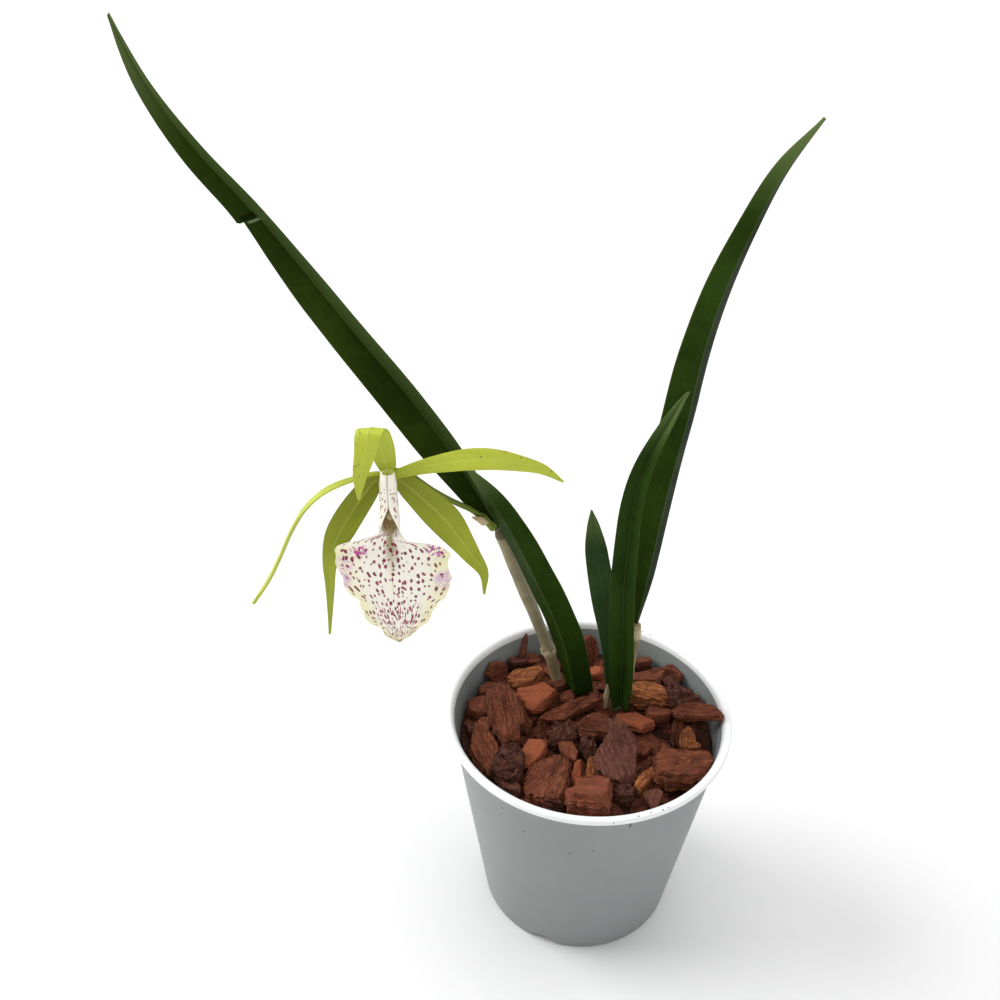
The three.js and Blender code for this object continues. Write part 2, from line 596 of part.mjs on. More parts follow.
// The packed bark under the chips fills the pot up to a wavy top.
function bedGeometry() {
  const floor = CHANNEL_HEIGHT + FLOOR + FIT;
  const step = CHANNEL_INNER_RADIUS - FLOOR - FIT;
  const reach = (z) => wallRadius(z) - WALL - FIT;
  const profile = [
    [0, FLOOR + FIT],
    [step - FIT, FLOOR + FIT],
    [step + CHANNEL_SLOPE - FIT, floor],
    [reach(floor), floor],
    [reach(BED_TOP - 1), BED_TOP - 1],
    ...BED_RINGS.map((r) => [r, BED_TOP]),
  ];
  const points = profile.map(([r, z]) => new THREE.Vector2(r, z));
  const geometry = new THREE.LatheGeometry(points, BED_SEGMENTS).rotateX(Math.PI / 2);
  const places = geometry.attributes.position;
  for (let i = 0; i < places.count; i += 1) {
    const [x, y, z] = [places.getX(i), places.getY(i), places.getZ(i)];
    if (z > BED_TOP - 0.5) {
      const wave = Math.sin(0.31 * x + 1) * Math.cos(0.37 * y) + 0.4 * Math.sin(0.8 * x - 0.6 * y);
      places.setZ(i, z + BED_WAVE * wave);
    }
  }
  return geometry;
}

// The space that the pot's wall and rim take, with a clear gap around it.
function wallSeat() {
  const profile = [
    [wallRadius(0) - WALL - CARVE, 0],
    [wallRadius(RIM_STEP) - WALL - CARVE, RIM_STEP],
    [RIM_INNER_RADIUS - CARVE, POT_HEIGHT - 0.4],
    [RIM_INNER_RADIUS - CARVE, POT_HEIGHT],
    [RIM_INNER_RADIUS, POT_HEIGHT + CARVE],
    [RIM_RADIUS + 10, POT_HEIGHT + CARVE],
    [RIM_RADIUS + 10, 0],
    [wallRadius(0) - WALL - CARVE, 0],
  ].reverse();
  const points = profile.map(([r, z]) => new THREE.Vector2(r, z));
  return new THREE.LatheGeometry(points, POT_SEGMENTS).rotateX(Math.PI / 2);
}

// What stands in the bark, a little bigger than itself.
function seats() {
  const stems = [RHIZOME, ...Object.values(STEMS), ...ROOT_PATHS.map((path) => ({ ...ROOT, path }))];
  const leaves = ['leaf_2', 'leaf_4', 'leaf_5'].map((name) => (
    { ...LEAVES[name], thickness: LEAF_THICKNESS }
  ));
  leaves.push({ ...SCALES.shoot_sheath, thickness: SCALE_THICKNESS });
  return [
    ...stems.map((spec) => stem(spec, CARVE)),
    ...leaves.map((spec) => blade(spec, CARVE)),
    wallSeat(),
  ].map(solidOf);
}

function bark() {
  const cutters = seats();
  const chips = new THREE.Group();
  CHIPS.forEach((chip, number) => {
    const pose = chipPose(chip);
    const placed = (grow) => solidOf(chipGeometry(chip.size, number, grow).applyMatrix4(pose));
    const carved = geometryOf(carve(placed(0), cutters)).applyMatrix4(pose.clone().invert());
    const material = matte(CHIP_COLORS[number % CHIP_COLORS.length], 0.85);
    add(chip.name, carved, material, chips).applyMatrix4(pose);
    cutters.push(placed(CARVE));
  });
  root.add(chips);
  add('bark_bed', geometryOf(carve(solidOf(bedGeometry()), cutters)), matte(BARK_DARK, 0.9));
}

pot();
plant();
bark();

export default root;
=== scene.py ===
"""The finished look of a young brassocattleya orchid in a nursery pot of bark.

Sizes in the tables are millimetres in the object's own frame: +Z is up, the origin is under the
middle of the pot, and the flower faces -Y. Meshes are made in metres.
"""

import logging
import math
from dataclasses import dataclass, replace
from enum import Enum
from typing import Any, Callable, Sequence

import bpy
import numpy as np
from mathutils import Matrix, Vector, noise


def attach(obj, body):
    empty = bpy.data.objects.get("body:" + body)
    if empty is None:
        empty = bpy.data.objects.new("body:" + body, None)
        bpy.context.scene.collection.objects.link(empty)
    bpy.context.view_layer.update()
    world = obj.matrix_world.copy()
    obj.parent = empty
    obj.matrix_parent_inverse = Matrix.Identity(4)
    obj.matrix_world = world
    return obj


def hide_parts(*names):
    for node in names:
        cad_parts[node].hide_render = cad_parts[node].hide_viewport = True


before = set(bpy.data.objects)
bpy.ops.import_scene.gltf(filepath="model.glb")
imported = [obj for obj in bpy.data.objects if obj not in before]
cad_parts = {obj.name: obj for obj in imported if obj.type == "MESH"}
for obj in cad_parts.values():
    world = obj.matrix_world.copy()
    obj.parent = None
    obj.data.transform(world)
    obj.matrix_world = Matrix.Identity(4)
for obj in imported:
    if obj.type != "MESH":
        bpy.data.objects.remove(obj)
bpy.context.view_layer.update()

LOG = logging.getLogger("orchid")
MM = 0.001
BODY = "root"

Array = np.ndarray
Piece = bpy.types.Object
Material = bpy.types.Material
Tree = bpy.types.NodeTree
Node = bpy.types.Node
Socket = bpy.types.NodeSocket
Point = Sequence[float]
Color = tuple[float, float, float, float]
Profile = Callable[[Array], Array]
Warp = Callable[[Array, Array], Array]


def tone(red: int, green: int, blue: int) -> Color:
    """Turns a screen colour into the linear colour that shaders use.

    Args:
        red: its red, from 0 to 255.
        green: its green.
        blue: its blue.

    Returns:
        The linear colour, with full alpha.
    """
    shares = np.array([red, green, blue]) / 255
    linear = np.where(shares <= 0.04045, shares / 12.92, ((shares + 0.055) / 1.055) ** 2.4)
    return (*linear.tolist(), 1.0)


def eased(value: Array | float, low: float, high: float) -> Array:
    """Rises smoothly from 0 to 1 while value goes from low to high."""
    share = np.clip((np.asarray(value, dtype=float) - low) / (high - low), 0.0, 1.0)
    return share * share * (3 - 2 * share)


def along(*pairs: tuple[float, float]) -> Profile:
    """Makes a value that changes smoothly along a piece.

    Args:
        pairs: shares of the length, from 0 to 1, each with the value there.

    Returns:
        A function from shares of the length to values.
    """
    shares, values = np.array(pairs, dtype=float).T
    steps = np.diff(shares)
    rises = np.diff(values) / steps
    inner = [0.0 if a * b <= 0 else 2 * a * b / (a + b) for a, b in zip(rises, rises[1:])]
    slopes = np.array([rises[0], *inner, rises[-1]])

    def profile(t: Array) -> Array:
        """Reads the value at some shares of the length.

        Args:
            t: the shares.

        Returns:
            The values.
        """
        t = np.clip(np.asarray(t, dtype=float), shares[0], shares[-1])
        i = np.clip(np.searchsorted(shares, t, side="right") - 1, 0, len(steps) - 1)
        s = (t - shares[i]) / steps[i]
        start = values[i] * (1 + 2 * s) * (1 - s) ** 2 + slopes[i] * steps[i] * s * (1 - s) ** 2
        return start + values[i + 1] * s**2 * (3 - 2 * s) + slopes[i + 1] * steps[i] * s**2 * (s - 1)

    return profile


def bumps(points: Array, scale: Point, seed: float) -> Array:
    """Reads smooth noise from about -1 to 1 at each point.

    Args:
        points: places in mm, one a row.
        scale: bumps per mm in x, y and z.
        seed: moves the pattern, so that two pieces don't share it.

    Returns:
        One value a point.
    """
    places = np.asarray(points, dtype=float) * np.asarray(scale) + seed
    return np.array([noise.noise(Vector(place)) for place in places])


# Lines, sheets and stems


class MidLine:
    """A smooth line through points that is walked by its length."""

    STEPS = 80

    def __init__(self, points: Sequence[Point]) -> None:
        """Samples the line.

        Args:
            points: places in mm that it passes.
        """
        knots = np.array(points, dtype=float)
        knots = np.vstack([2 * knots[0] - knots[1], knots, 2 * knots[-1] - knots[-2]])
        pieces = [self._piece(knots[i:i + 4]) for i in range(len(knots) - 3)]
        self.samples = np.vstack([*pieces, knots[-2][None]])
        steps = np.linalg.norm(np.diff(self.samples, axis=0), axis=1)
        self.lengths = np.concatenate([[0.0], np.cumsum(steps)])
        self.length = float(self.lengths[-1])

    def _piece(self, knots: Array) -> Array:
        """Samples the stretch between the middle two of four knots.

        Args:
            knots: four places in a row.

        Returns:
            Places from the second knot up to the third.
        """
        gaps = np.sqrt(np.linalg.norm(np.diff(knots, axis=0), axis=1))
        p0, p1, p2, p3 = knots
        leave = ((p1 - p0) / gaps[0] - (p2 - p0) / (gaps[0] + gaps[1]) + (p2 - p1) / gaps[1])
        reach = ((p2 - p1) / gaps[1] - (p3 - p1) / (gaps[1] + gaps[2]) + (p3 - p2) / gaps[2])
        leave, reach = leave * gaps[1], reach * gaps[1]
        s = np.linspace(0, 1, self.STEPS, endpoint=False)[:, None]
        square = -3 * p1 + 3 * p2 - 2 * leave - reach
        cube = 2 * p1 - 2 * p2 + leave + reach
        return p1 + leave * s + square * s**2 + cube * s**3

    def at(self, t: Array) -> Array:
        """Gives the places at shares t of the length."""
        walked = np.asarray(t) * self.length
        return np.stack([np.interp(walked, self.lengths, axis) for axis in self.samples.T], axis=-1)

    def tangent(self, t: Array) -> Array:
        """Gives the directions at some shares of the length.

        Args:
            t: the shares.

        Returns:
            One direction a share.
        """
        reach = 0.004
        ahead = self.at(np.minimum(np.asarray(t) + reach, 1.0))
        behind = self.at(np.maximum(np.asarray(t) - reach, 0.0))
        return unit(ahead - behind)


def unit(vectors: Array) -> Array:
    """Gives vectors the length 1."""
    return vectors / np.linalg.norm(vectors, axis=-1, keepdims=True)


def axes_along(line: MidLine, facing: Sequence[Point], t: Array) -> tuple[Array, ...]:
    """Finds the place, side and up direction of a piece at shares t of its length.

    Args:
        line: the piece's midrib or axis.
        facing: directions, spread evenly along it, that its upper side looks in.
        t: shares of the length.

    Returns:
        Places, side directions and up directions, one a share.
    """
    faces = np.array(facing, dtype=float)
    spots = np.linspace(0, 1, len(faces))
    up = np.stack([np.interp(t, spots, axis) for axis in faces.T], axis=-1)
    tangent = line.tangent(t)
    up = unit(up - tangent * np.sum(up * tangent, axis=-1, keepdims=True))
    return line.at(t), np.cross(up, tangent), up


def mesh_piece(name: str, points: Array, faces: list[tuple[int, ...]],
               uvs: Array | None = None) -> Piece:
    """Makes a mesh object from places in mm.

    Args:
        name: the piece's name.
        points: one place a row.
        faces: corner numbers of each face, outward.
        uvs: one pair for each face corner.

    Returns:
        The new object, with smooth faces.
    """
    mesh = bpy.data.meshes.new(name)
    mesh.from_pydata((np.asarray(points) * MM).tolist(), [], faces)
    if uvs is not None:
        layer = mesh.uv_layers.new(name="UVMap")
        layer.data.foreach_set("uv", np.asarray(uvs, dtype=np.float32).ravel())
    mesh.shade_smooth()
    piece = bpy.data.objects.new(name, mesh)
    bpy.context.collection.objects.link(piece)
    return piece


def ring_faces(rows: int, size: int, closed: bool = False) -> list[tuple[int, ...]]:
    """Lists the four-sided faces between rings of points.

    Args:
        rows: how many rings there are.
        size: how many points a ring has.
        closed: whether the last ring joins the first.

    Returns:
        The corner numbers of each face.
    """
    faces = []
    for row in range(rows if closed else rows - 1):
        low, high = row * size, (row + 1) % rows * size
        faces += [(low + j, low + (j + 1) % size, high + (j + 1) % size, high + j) for j in range(size)]
    return faces


def closed_tube(name: str, rings: Array, around: Array, t: Array) -> Piece:
    """Closes a row of rings into one piece with a UV map.

    Args:
        name: the piece's name.
        rings: places in mm, as rings by ring points.
        around: the U of each ring point, with one more for the way back to the first.
        t: the V of each ring.

    Returns:
        The new object.
    """
    count, size = rings.shape[:2]
    faces, uvs = [], []
    for row in range(count - 1):
        for j in range(size):
            a, b = row * size + j, row * size + (j + 1) % size
            faces.append((a, a + size, b + size, b))
            low, high = around[j], around[j + 1]
            uvs += [(low, t[row]), (low, t[row + 1]), (high, t[row + 1]), (high, t[row])]
    faces.append(tuple(range(size)))
    uvs += [(around[j], t[0]) for j in range(size)]
    last = (count - 1) * size
    faces.append(tuple(range(last + size - 1, last - 1, -1)))
    uvs += [(around[j], t[-1]) for j in range(size - 1, -1, -1)]
    return mesh_piece(name, rings.reshape(-1, 3), faces, np.array(uvs))


HALF_STEPS = (0.04, 0.09, 0.15, 0.23, 0.33, 0.44, 0.56, 0.67, 0.77, 0.85, 0.91, 0.95, 0.98, 0.995)


@dataclass
class Sheet:
    """A thin blade along its midrib: a leaf, a sepal, a petal, a scale or the lip."""

    name: str
    path: Sequence[Point]
    facing: Sequence[Point]
    left: Profile  # half width on the side direction's side, in mm
    right: Profile
    thickness: float
    fold: float = 0.0  # how far each half is folded up, in degrees
    curl: Profile | None = None  # how far the whole width is rolled up, in degrees
    bow: float = 0.0  # how far each half swells up, as a share of its width
    rib: float = 0.0  # height of the rib on the upper side, in mm
    keel: float = 0.0  # height of the rib on the lower side, in mm
    warp: Warp | None = None  # extra lift in mm at shares along and across
    stations: int = 150

    def build(self) -> Piece:
        """Makes the blade's mesh, with U across it and V along it.

        Returns:
            The new object.
        """
        t = np.linspace(0, 1, self.stations + 1)
        half = np.array([0.0, *HALF_STEPS, 1.0])
        across = np.concatenate([-half[:0:-1], half])
        place, side, up = axes_along(MidLine(self.path), self.facing, t)
        upper = self._layer(t, across, place, side, up, 1)
        lower = self._layer(t, across[1:-1][::-1], place, side, up, -1)
        rings = np.concatenate([upper, lower], axis=1)
        round_trip = np.concatenate([across, across[1:-1][::-1], across[:1]])
        return closed_tube(self.name, rings, (round_trip + 1) / 2, t)

    def _layer(self, t: Array, across: Array, place: Array, side: Array, up: Array,
               layer: int) -> Array:
        """Places the points of one side of the blade.

        Args:
            t: shares of the length.
            across: shares of the half width, from -1 to 1.
            place: the midrib at those shares of the length.
            side: the side direction there.
            up: the up direction there.
            layer: 1 for the upper side and -1 for the lower one.

        Returns:
            Places in mm, by share of the length and of the width.
        """
        share = across[None, :]
        width = np.where(share > 0, self.left(t)[:, None], self.right(t)[:, None])
        crest = np.exp(-((share / 0.07) ** 2))
        body = np.sqrt(1 - share**2) * self.thickness / 2
        body = body + crest * (self.rib if layer > 0 else self.keel)
        if self.curl is None:
            angle = math.radians(self.fold)
            soft = np.sqrt(share**2 + 0.0016) - 0.04
            out = width * share * math.cos(angle)
            lift = width * (soft * math.sin(angle) + self.bow * (np.abs(share) - share**2))
            lift = lift + layer * body
        else:
            roll = np.radians(np.maximum(self.curl(t)[:, None], 0.5)) / 2
            reach = width / roll - layer * body
            out = reach * np.sin(share * roll)
            lift = width / roll - reach * np.cos(share * roll)
        if self.warp:
            lift = lift + self.warp(t[:, None] + 0 * share, share + 0 * t[:, None])
        return (place[:, None] + side[:, None] * out[..., None] + up[:, None] * lift[..., None])


@dataclass
class Stem:
    """A round stem along its axis."""

    name: str
    path: Sequence[Point]
    radius: Profile
    stations: int = 60
    sides: int = 28
    relief: float = 0.0  # height of the furrows along it, in mm
    seed: float = 0.0

    def build(self) -> Piece:
        """Makes the stem's mesh, with U round it and V along it.

        Returns:
            The new object.
        """
        t = np.linspace(0, 1, self.stations + 1)
        place, side, up = axes_along(MidLine(self.path), [(0, -1, 0), (0, -1, 0)], t)
        angle = math.pi - 2 * math.pi * np.arange(self.sides) / self.sides
        length = MidLine(self.path).length
        grid = np.stack(np.meshgrid(t * length * 0.12, np.cos(angle) * 2, np.sin(angle) * 2,
                                    indexing="ij"), axis=-1)
        grid = np.stack([grid[:, j, j] for j in range(self.sides)], axis=1)
        furrow = bumps(grid.reshape(-1, 3), (1, 1, 1), self.seed).reshape(grid.shape[:2])
        size = self.radius(t)[:, None] + self.relief * furrow
        out, lift = size * np.cos(angle), size * np.sin(angle)
        rings = place[:, None] + side[:, None] * out[..., None] + up[:, None] * lift[..., None]
        return closed_tube(self.name, rings, np.arange(self.sides + 1) / self.sides, t)


# Node trees


class Graph:
    """A node tree under construction, with one short call for each kind of node it needs."""

    def __init__(self, tree: Tree) -> None:
        """Starts adding to the tree."""
        self.tree = tree

    def add(self, kind: str, inputs: dict[Any, Any] | None = None, **settings: Any) -> Node:
        """Adds a node.

        Args:
            kind: Blender's name for the node.
            inputs: values or sockets for its inputs, by name or number.
            settings: the node's own settings.

        Returns:
            The new node.
        """
        node = self.tree.nodes.new(kind)
        for name, value in settings.items():
            setattr(node, name, value)
        for key, value in (inputs or {}).items():
            if isinstance(value, Socket):
                self.link(value, node.inputs[key])
            else:
                node.inputs[key].default_value = value
        return node

    def math(self, operation: str, a: Any, b: Any = 0.0) -> Socket:
        """Adds one sum of two values."""
        return self.add("ShaderNodeMath", {0: a, 1: b}, operation=operation).outputs[0]

    def plus(self, a: Any, b: Any) -> Socket:
        """Adds two values."""
        return self.math("ADD", a, b)

    def minus(self, a: Any, b: Any) -> Socket:
        """Takes the second value from the first."""
        return self.math("SUBTRACT", a, b)

    def times(self, a: Any, b: Any) -> Socket:
        """Multiplies two values."""
        return self.math("MULTIPLY", a, b)

    def vector(self, operation: str, a: Any, b: Any) -> Socket:
        """Adds one sum of two vectors."""
        return self.add("ShaderNodeVectorMath", {0: a, 1: b}, operation=operation).outputs[0]

    def length(self, vector: Any) -> Socket:
        """Measures a vector."""
        return self.add("ShaderNodeVectorMath", {0: vector}, operation="LENGTH").outputs["Value"]

    def link(self, source: Socket, target: Socket) -> None:
        """Joins two sockets."""
        self.tree.links.new(source, target)

    def mix(self, factor: Any, a: Any, b: Any, blend: str = "MIX") -> Socket:
        """Mixes two colours."""
        node = self.add("ShaderNodeMix", {0: factor, 6: a, 7: b}, data_type="RGBA", blend_type=blend)
        return node.outputs[2]

    def band(self, value: Any, low: Any, high: Any, start: float = 0.0, end: float = 1.0) -> Socket:
        """Moves smoothly from start to end while value goes from low to high."""
        inputs = {0: value, 1: low, 2: high, 3: start, 4: end}
        return self.add("ShaderNodeMapRange", inputs, interpolation_type="SMOOTHSTEP").outputs[0]

    def noise(self, where: Any, scale: Any, detail: float = 3.0, rough: float = 0.55) -> Socket:
        """Adds smooth noise from 0 to 1."""
        inputs = {"Vector": where, "Scale": scale, "Detail": detail, "Roughness": rough}
        return self.add("ShaderNodeTexNoise", inputs).outputs[0]

    def cells(self, where: Any, scale: float, feature: str = "F1", spread: float = 1.0) -> Node:
        """Adds a pattern of cells."""
        inputs = {"Vector": where, "Scale": scale, "Randomness": spread}
        return self.add("ShaderNodeTexVoronoi", inputs, feature=feature)

    def stretch(self, where: Any, scale: Point, shift: Point = (0, 0, 0)) -> Socket:
        """Moves and scales a pattern's coordinates."""
        inputs = {"Vector": where, "Location": tuple(shift), "Scale": tuple(scale)}
        return self.add("ShaderNodeMapping", inputs).outputs[0]


SOCKETS = {"value": "NodeSocketFloat", "color": "NodeSocketColor", "vector": "NodeSocketVector"}


def node_group(name: str, inputs: dict[str, tuple[str, Any]],
               outputs: dict[str, str]) -> tuple[Graph, Node, Node]:
    """Starts a shader node group.

    Args:
        name: the effect's name.
        inputs: for each input, its kind and its usual value.
        outputs: the kind of each output.

    Returns:
        The group's graph, its input node and its output node.
    """
    tree = bpy.data.node_groups.new(name, "ShaderNodeTree")
    for label, (kind, value) in inputs.items():
        socket = tree.interface.new_socket(label, in_out="INPUT", socket_type=SOCKETS[kind])
        socket.default_value = value
    for label, kind in outputs.items():
        tree.interface.new_socket(label, in_out="OUTPUT", socket_type=SOCKETS[kind])
    graph = Graph(tree)
    return graph, graph.add("NodeGroupInput"), graph.add("NodeGroupOutput")


def finish_group(graph: Graph, exit_node: Node, values: dict[str, Socket]) -> Tree:
    """Joins a group's results to its outputs.

    Args:
        graph: the group's graph.
        exit_node: its output node.
        values: the results by name.

    Returns:
        The node group.
    """
    for label, value in values.items():
        graph.link(value, exit_node.inputs[label])
    return graph.tree


def mottle_group() -> Tree:
    """Builds the effect of uneven colour: soft blotches with a finer grain in them.

    Returns:
        The node group.
    """
    graph, entry, leave = node_group(
        "Mottle",
        {"Color": ("color", (0.5, 0.5, 0.5, 1)), "Other": ("color", (0.3, 0.3, 0.3, 1)),
         "Amount": ("value", 0.5), "Scale": ("value", 60.0)},
        {"Color": "color", "Blotch": "value"})
    where = graph.add("ShaderNodeTexCoord").outputs["Object"]
    broad = graph.noise(where, entry.outputs["Scale"], 4.0)
    fine = graph.noise(where, graph.times(entry.outputs["Scale"], 7.0), 3.0)
    both = graph.plus(graph.times(broad, 0.75), graph.times(fine, 0.25))
    blotch = graph.band(both, 0.36, 0.64)
    factor = graph.times(blotch, entry.outputs["Amount"])
    mixed = graph.mix(factor, entry.outputs["Color"], entry.outputs["Other"])
    return finish_group(graph, leave, {"Color": mixed, "Blotch": blotch})


def veins_group() -> Tree:
    """Builds the effect of fine veins that run along a blade or a stem, from its UV map.

    Returns:
        The node group.
    """
    graph, entry, leave = node_group(
        "Veins",
        {"Color": ("color", (0.1, 0.2, 0.05, 1)), "Vein": ("color", (0.2, 0.3, 0.1, 1)),
         "Amount": ("value", 0.5), "Count": ("value", 24.0), "Wander": ("value", 0.02)},
        {"Color": "color", "Height": "value"})
    where = graph.add("ShaderNodeUVMap", uv_map="UVMap").outputs[0]
    bend = graph.noise(graph.stretch(where, (3, 2, 1)), 3.0, 2.0)
    apart = graph.add("ShaderNodeSeparateXYZ", {0: where})
    shift = graph.times(graph.minus(bend, 0.5), entry.outputs["Wander"])
    across = graph.plus(apart.outputs[0], shift)
    turns = graph.times(across, entry.outputs["Count"])
    wave = graph.math("COSINE", graph.times(turns, 2 * math.pi))
    line = graph.band(wave, 0.35, 1.0)
    strength = graph.noise(graph.stretch(where, (40, 2.5, 1)), 1.0, 2.0)
    line = graph.times(line, graph.band(strength, 0.3, 0.7))
    factor = graph.times(line, entry.outputs["Amount"])
    mixed = graph.mix(factor, entry.outputs["Color"], entry.outputs["Vein"])
    return finish_group(graph, leave, {"Color": mixed, "Height": line})


def bark_group() -> Tree:
    """Builds the effect of torn bark: fibres along it, layers at its edges, cracks and flecks.

    Returns:
        The node group.
    """
    graph, entry, leave = node_group(
        "Bark grain",
        {"Color": ("color", tone(110, 55, 35)), "Dark": ("color", tone(50, 24, 18)),
         "Light": ("color", tone(150, 84, 54)), "Fibre": ("value", 0.6),
         "Flecks": ("value", 0.1)},
        {"Color": "color", "Height": "value"})
    where = graph.add("ShaderNodeAttribute", attribute_name="grain").outputs["Vector"]
    fibre = graph.noise(graph.stretch(where, (0.16, 1.5, 2.6)), 1.0, 5.0, 0.65)
    layers = graph.noise(graph.stretch(where, (0.10, 0.22, 2.2)), 1.0, 3.0, 0.6)
    patch = graph.noise(where, 0.22, 3.0, 0.6)
    crack = graph.cells(graph.stretch(where, (0.22, 0.5, 0.7)), 1.0, "DISTANCE_TO_EDGE")
    crack_line = graph.band(crack.outputs[0], 0.0, 0.07, 1.0, 0.0)
    speck = graph.cells(where, 1.6, spread=1.0)
    fleck = graph.band(speck.outputs[0], 0.10, 0.22, 1.0, 0.0)
    fleck = graph.times(fleck, graph.band(patch, 0.5, 0.62))
    fleck = graph.times(fleck, entry.outputs["Flecks"])
    streak = graph.band(fibre, 0.42, 0.68)
    streak = graph.times(streak, entry.outputs["Fibre"])
    lit = graph.mix(streak, entry.outputs["Color"], entry.outputs["Light"])
    shade = graph.math("MAXIMUM", graph.band(layers, 0.50, 0.36), graph.band(patch, 0.46, 0.28))
    shaded = graph.mix(graph.times(shade, 0.5), lit, entry.outputs["Dark"])
    cracked = graph.mix(graph.times(crack_line, 0.22), shaded, entry.outputs["Dark"])
    tint = graph.add("ShaderNodeAttribute", attribute_name="tint").outputs["Fac"]
    tinted = graph.mix(graph.times(tint, 0.55), cracked, entry.outputs["Dark"])
    flecked = graph.mix(fleck, tinted, tone(214, 190, 170))
    height = graph.times(graph.plus(fibre, layers), 0.6)
    height = graph.minus(height, graph.times(crack_line, 0.35))
    return finish_group(graph, leave, {"Color": flecked, "Height": height})


def speckle_group() -> Tree:
    """Builds the effect of scattered spots: how much of a spot lies at each point of a pattern.

    Returns:
        The node group.
    """
    graph, entry, leave = node_group(
        "Speckle",
        {"Vector": ("vector", (0, 0, 0)), "Scale": ("value", 1.0), "Size": ("value", 0.3),
         "Share": ("value", 0.5), "Spread": ("value", 0.9)},
        {"Spot": "value", "Kind": "value"})
    inputs = {"Vector": entry.outputs["Vector"], "Scale": entry.outputs["Scale"],
              "Randomness": entry.outputs["Spread"]}
    spots = graph.add("ShaderNodeTexVoronoi", inputs, feature="F1")
    kinds = graph.add("ShaderNodeSeparateColor", {0: spots.outputs["Color"]})
    own = graph.times(entry.outputs["Size"], graph.plus(0.55, graph.times(kinds.outputs[1], 0.75)))
    rim = graph.times(own, 0.72)
    near = graph.band(spots.outputs[0], rim, own, 1.0, 0.0)
    kept = graph.math("LESS_THAN", kinds.outputs[0], entry.outputs["Share"])
    return finish_group(graph, leave, {"Spot": graph.times(near, kept), "Kind": kinds.outputs[2]})


class Effect(Enum):
    """The shared shader effects, each built once."""

    MOTTLE = "Mottle"
    VEINS = "Veins"
    BARK = "Bark grain"
    SPECKLE = "Speckle"

    def tree(self) -> Tree:
        """Gives the effect's node group, which the first call builds.

        Returns:
            The node group.
        """
        makers = {Effect.MOTTLE: mottle_group, Effect.VEINS: veins_group, Effect.BARK: bark_group,
                  Effect.SPECKLE: speckle_group}
        return bpy.data.node_groups.get(self.value) or makers[self]()


class Finish:
    """A material under construction round one Principled shader."""

    def __init__(self, name: str, **constants: Any) -> None:
        """Starts a material.

        Args:
            name: the material's name.
            constants: values of the shader's own inputs, with _ for a space.
        """
        self.material = bpy.data.materials.new(name)
        self.material.use_nodes = True
        self.graph = Graph(self.material.node_tree)
        self.shader = self.material.node_tree.nodes["Principled BSDF"]
        for label, value in constants.items():
            self.shader.inputs[label.replace("_", " ")].default_value = value

    def effect(self, effect: Effect, inputs: dict[str, Any]) -> Node:
        """Places a shared effect with this material's own values.

        Args:
            effect: the effect.
            inputs: values or sockets for its inputs, by name.

        Returns:
            The effect's node.
        """
        return self.graph.add("ShaderNodeGroup", inputs, node_tree=effect.tree())

    def wear(self, label: str, socket: Socket) -> None:
        """Joins a socket to one of the shader's inputs."""
        self.graph.link(socket, self.shader.inputs[label])

    def relief(self, height: Socket, depth: float, strength: float = 1.0) -> None:
        """Joins a height in mm to the shader's normal."""
        inputs = {"Height": height, "Distance": depth * MM, "Strength": strength}
        self.wear("Normal", self.graph.add("ShaderNodeBump", inputs).outputs[0])

    def across_along(self) -> tuple[Socket, Socket]:
        """Gives a blade's own shares: U across it and V along it.

        Returns:
            The sockets of both shares.
        """
        where = self.graph.add("ShaderNodeUVMap", uv_map="UVMap").outputs[0]
        apart = self.graph.add("ShaderNodeSeparateXYZ", {0: where})
        return apart.outputs[0], apart.outputs[1]

    def object_place(self) -> Socket:
        """Gives the place on the object."""
        return self.graph.add("ShaderNodeTexCoord").outputs["Object"]


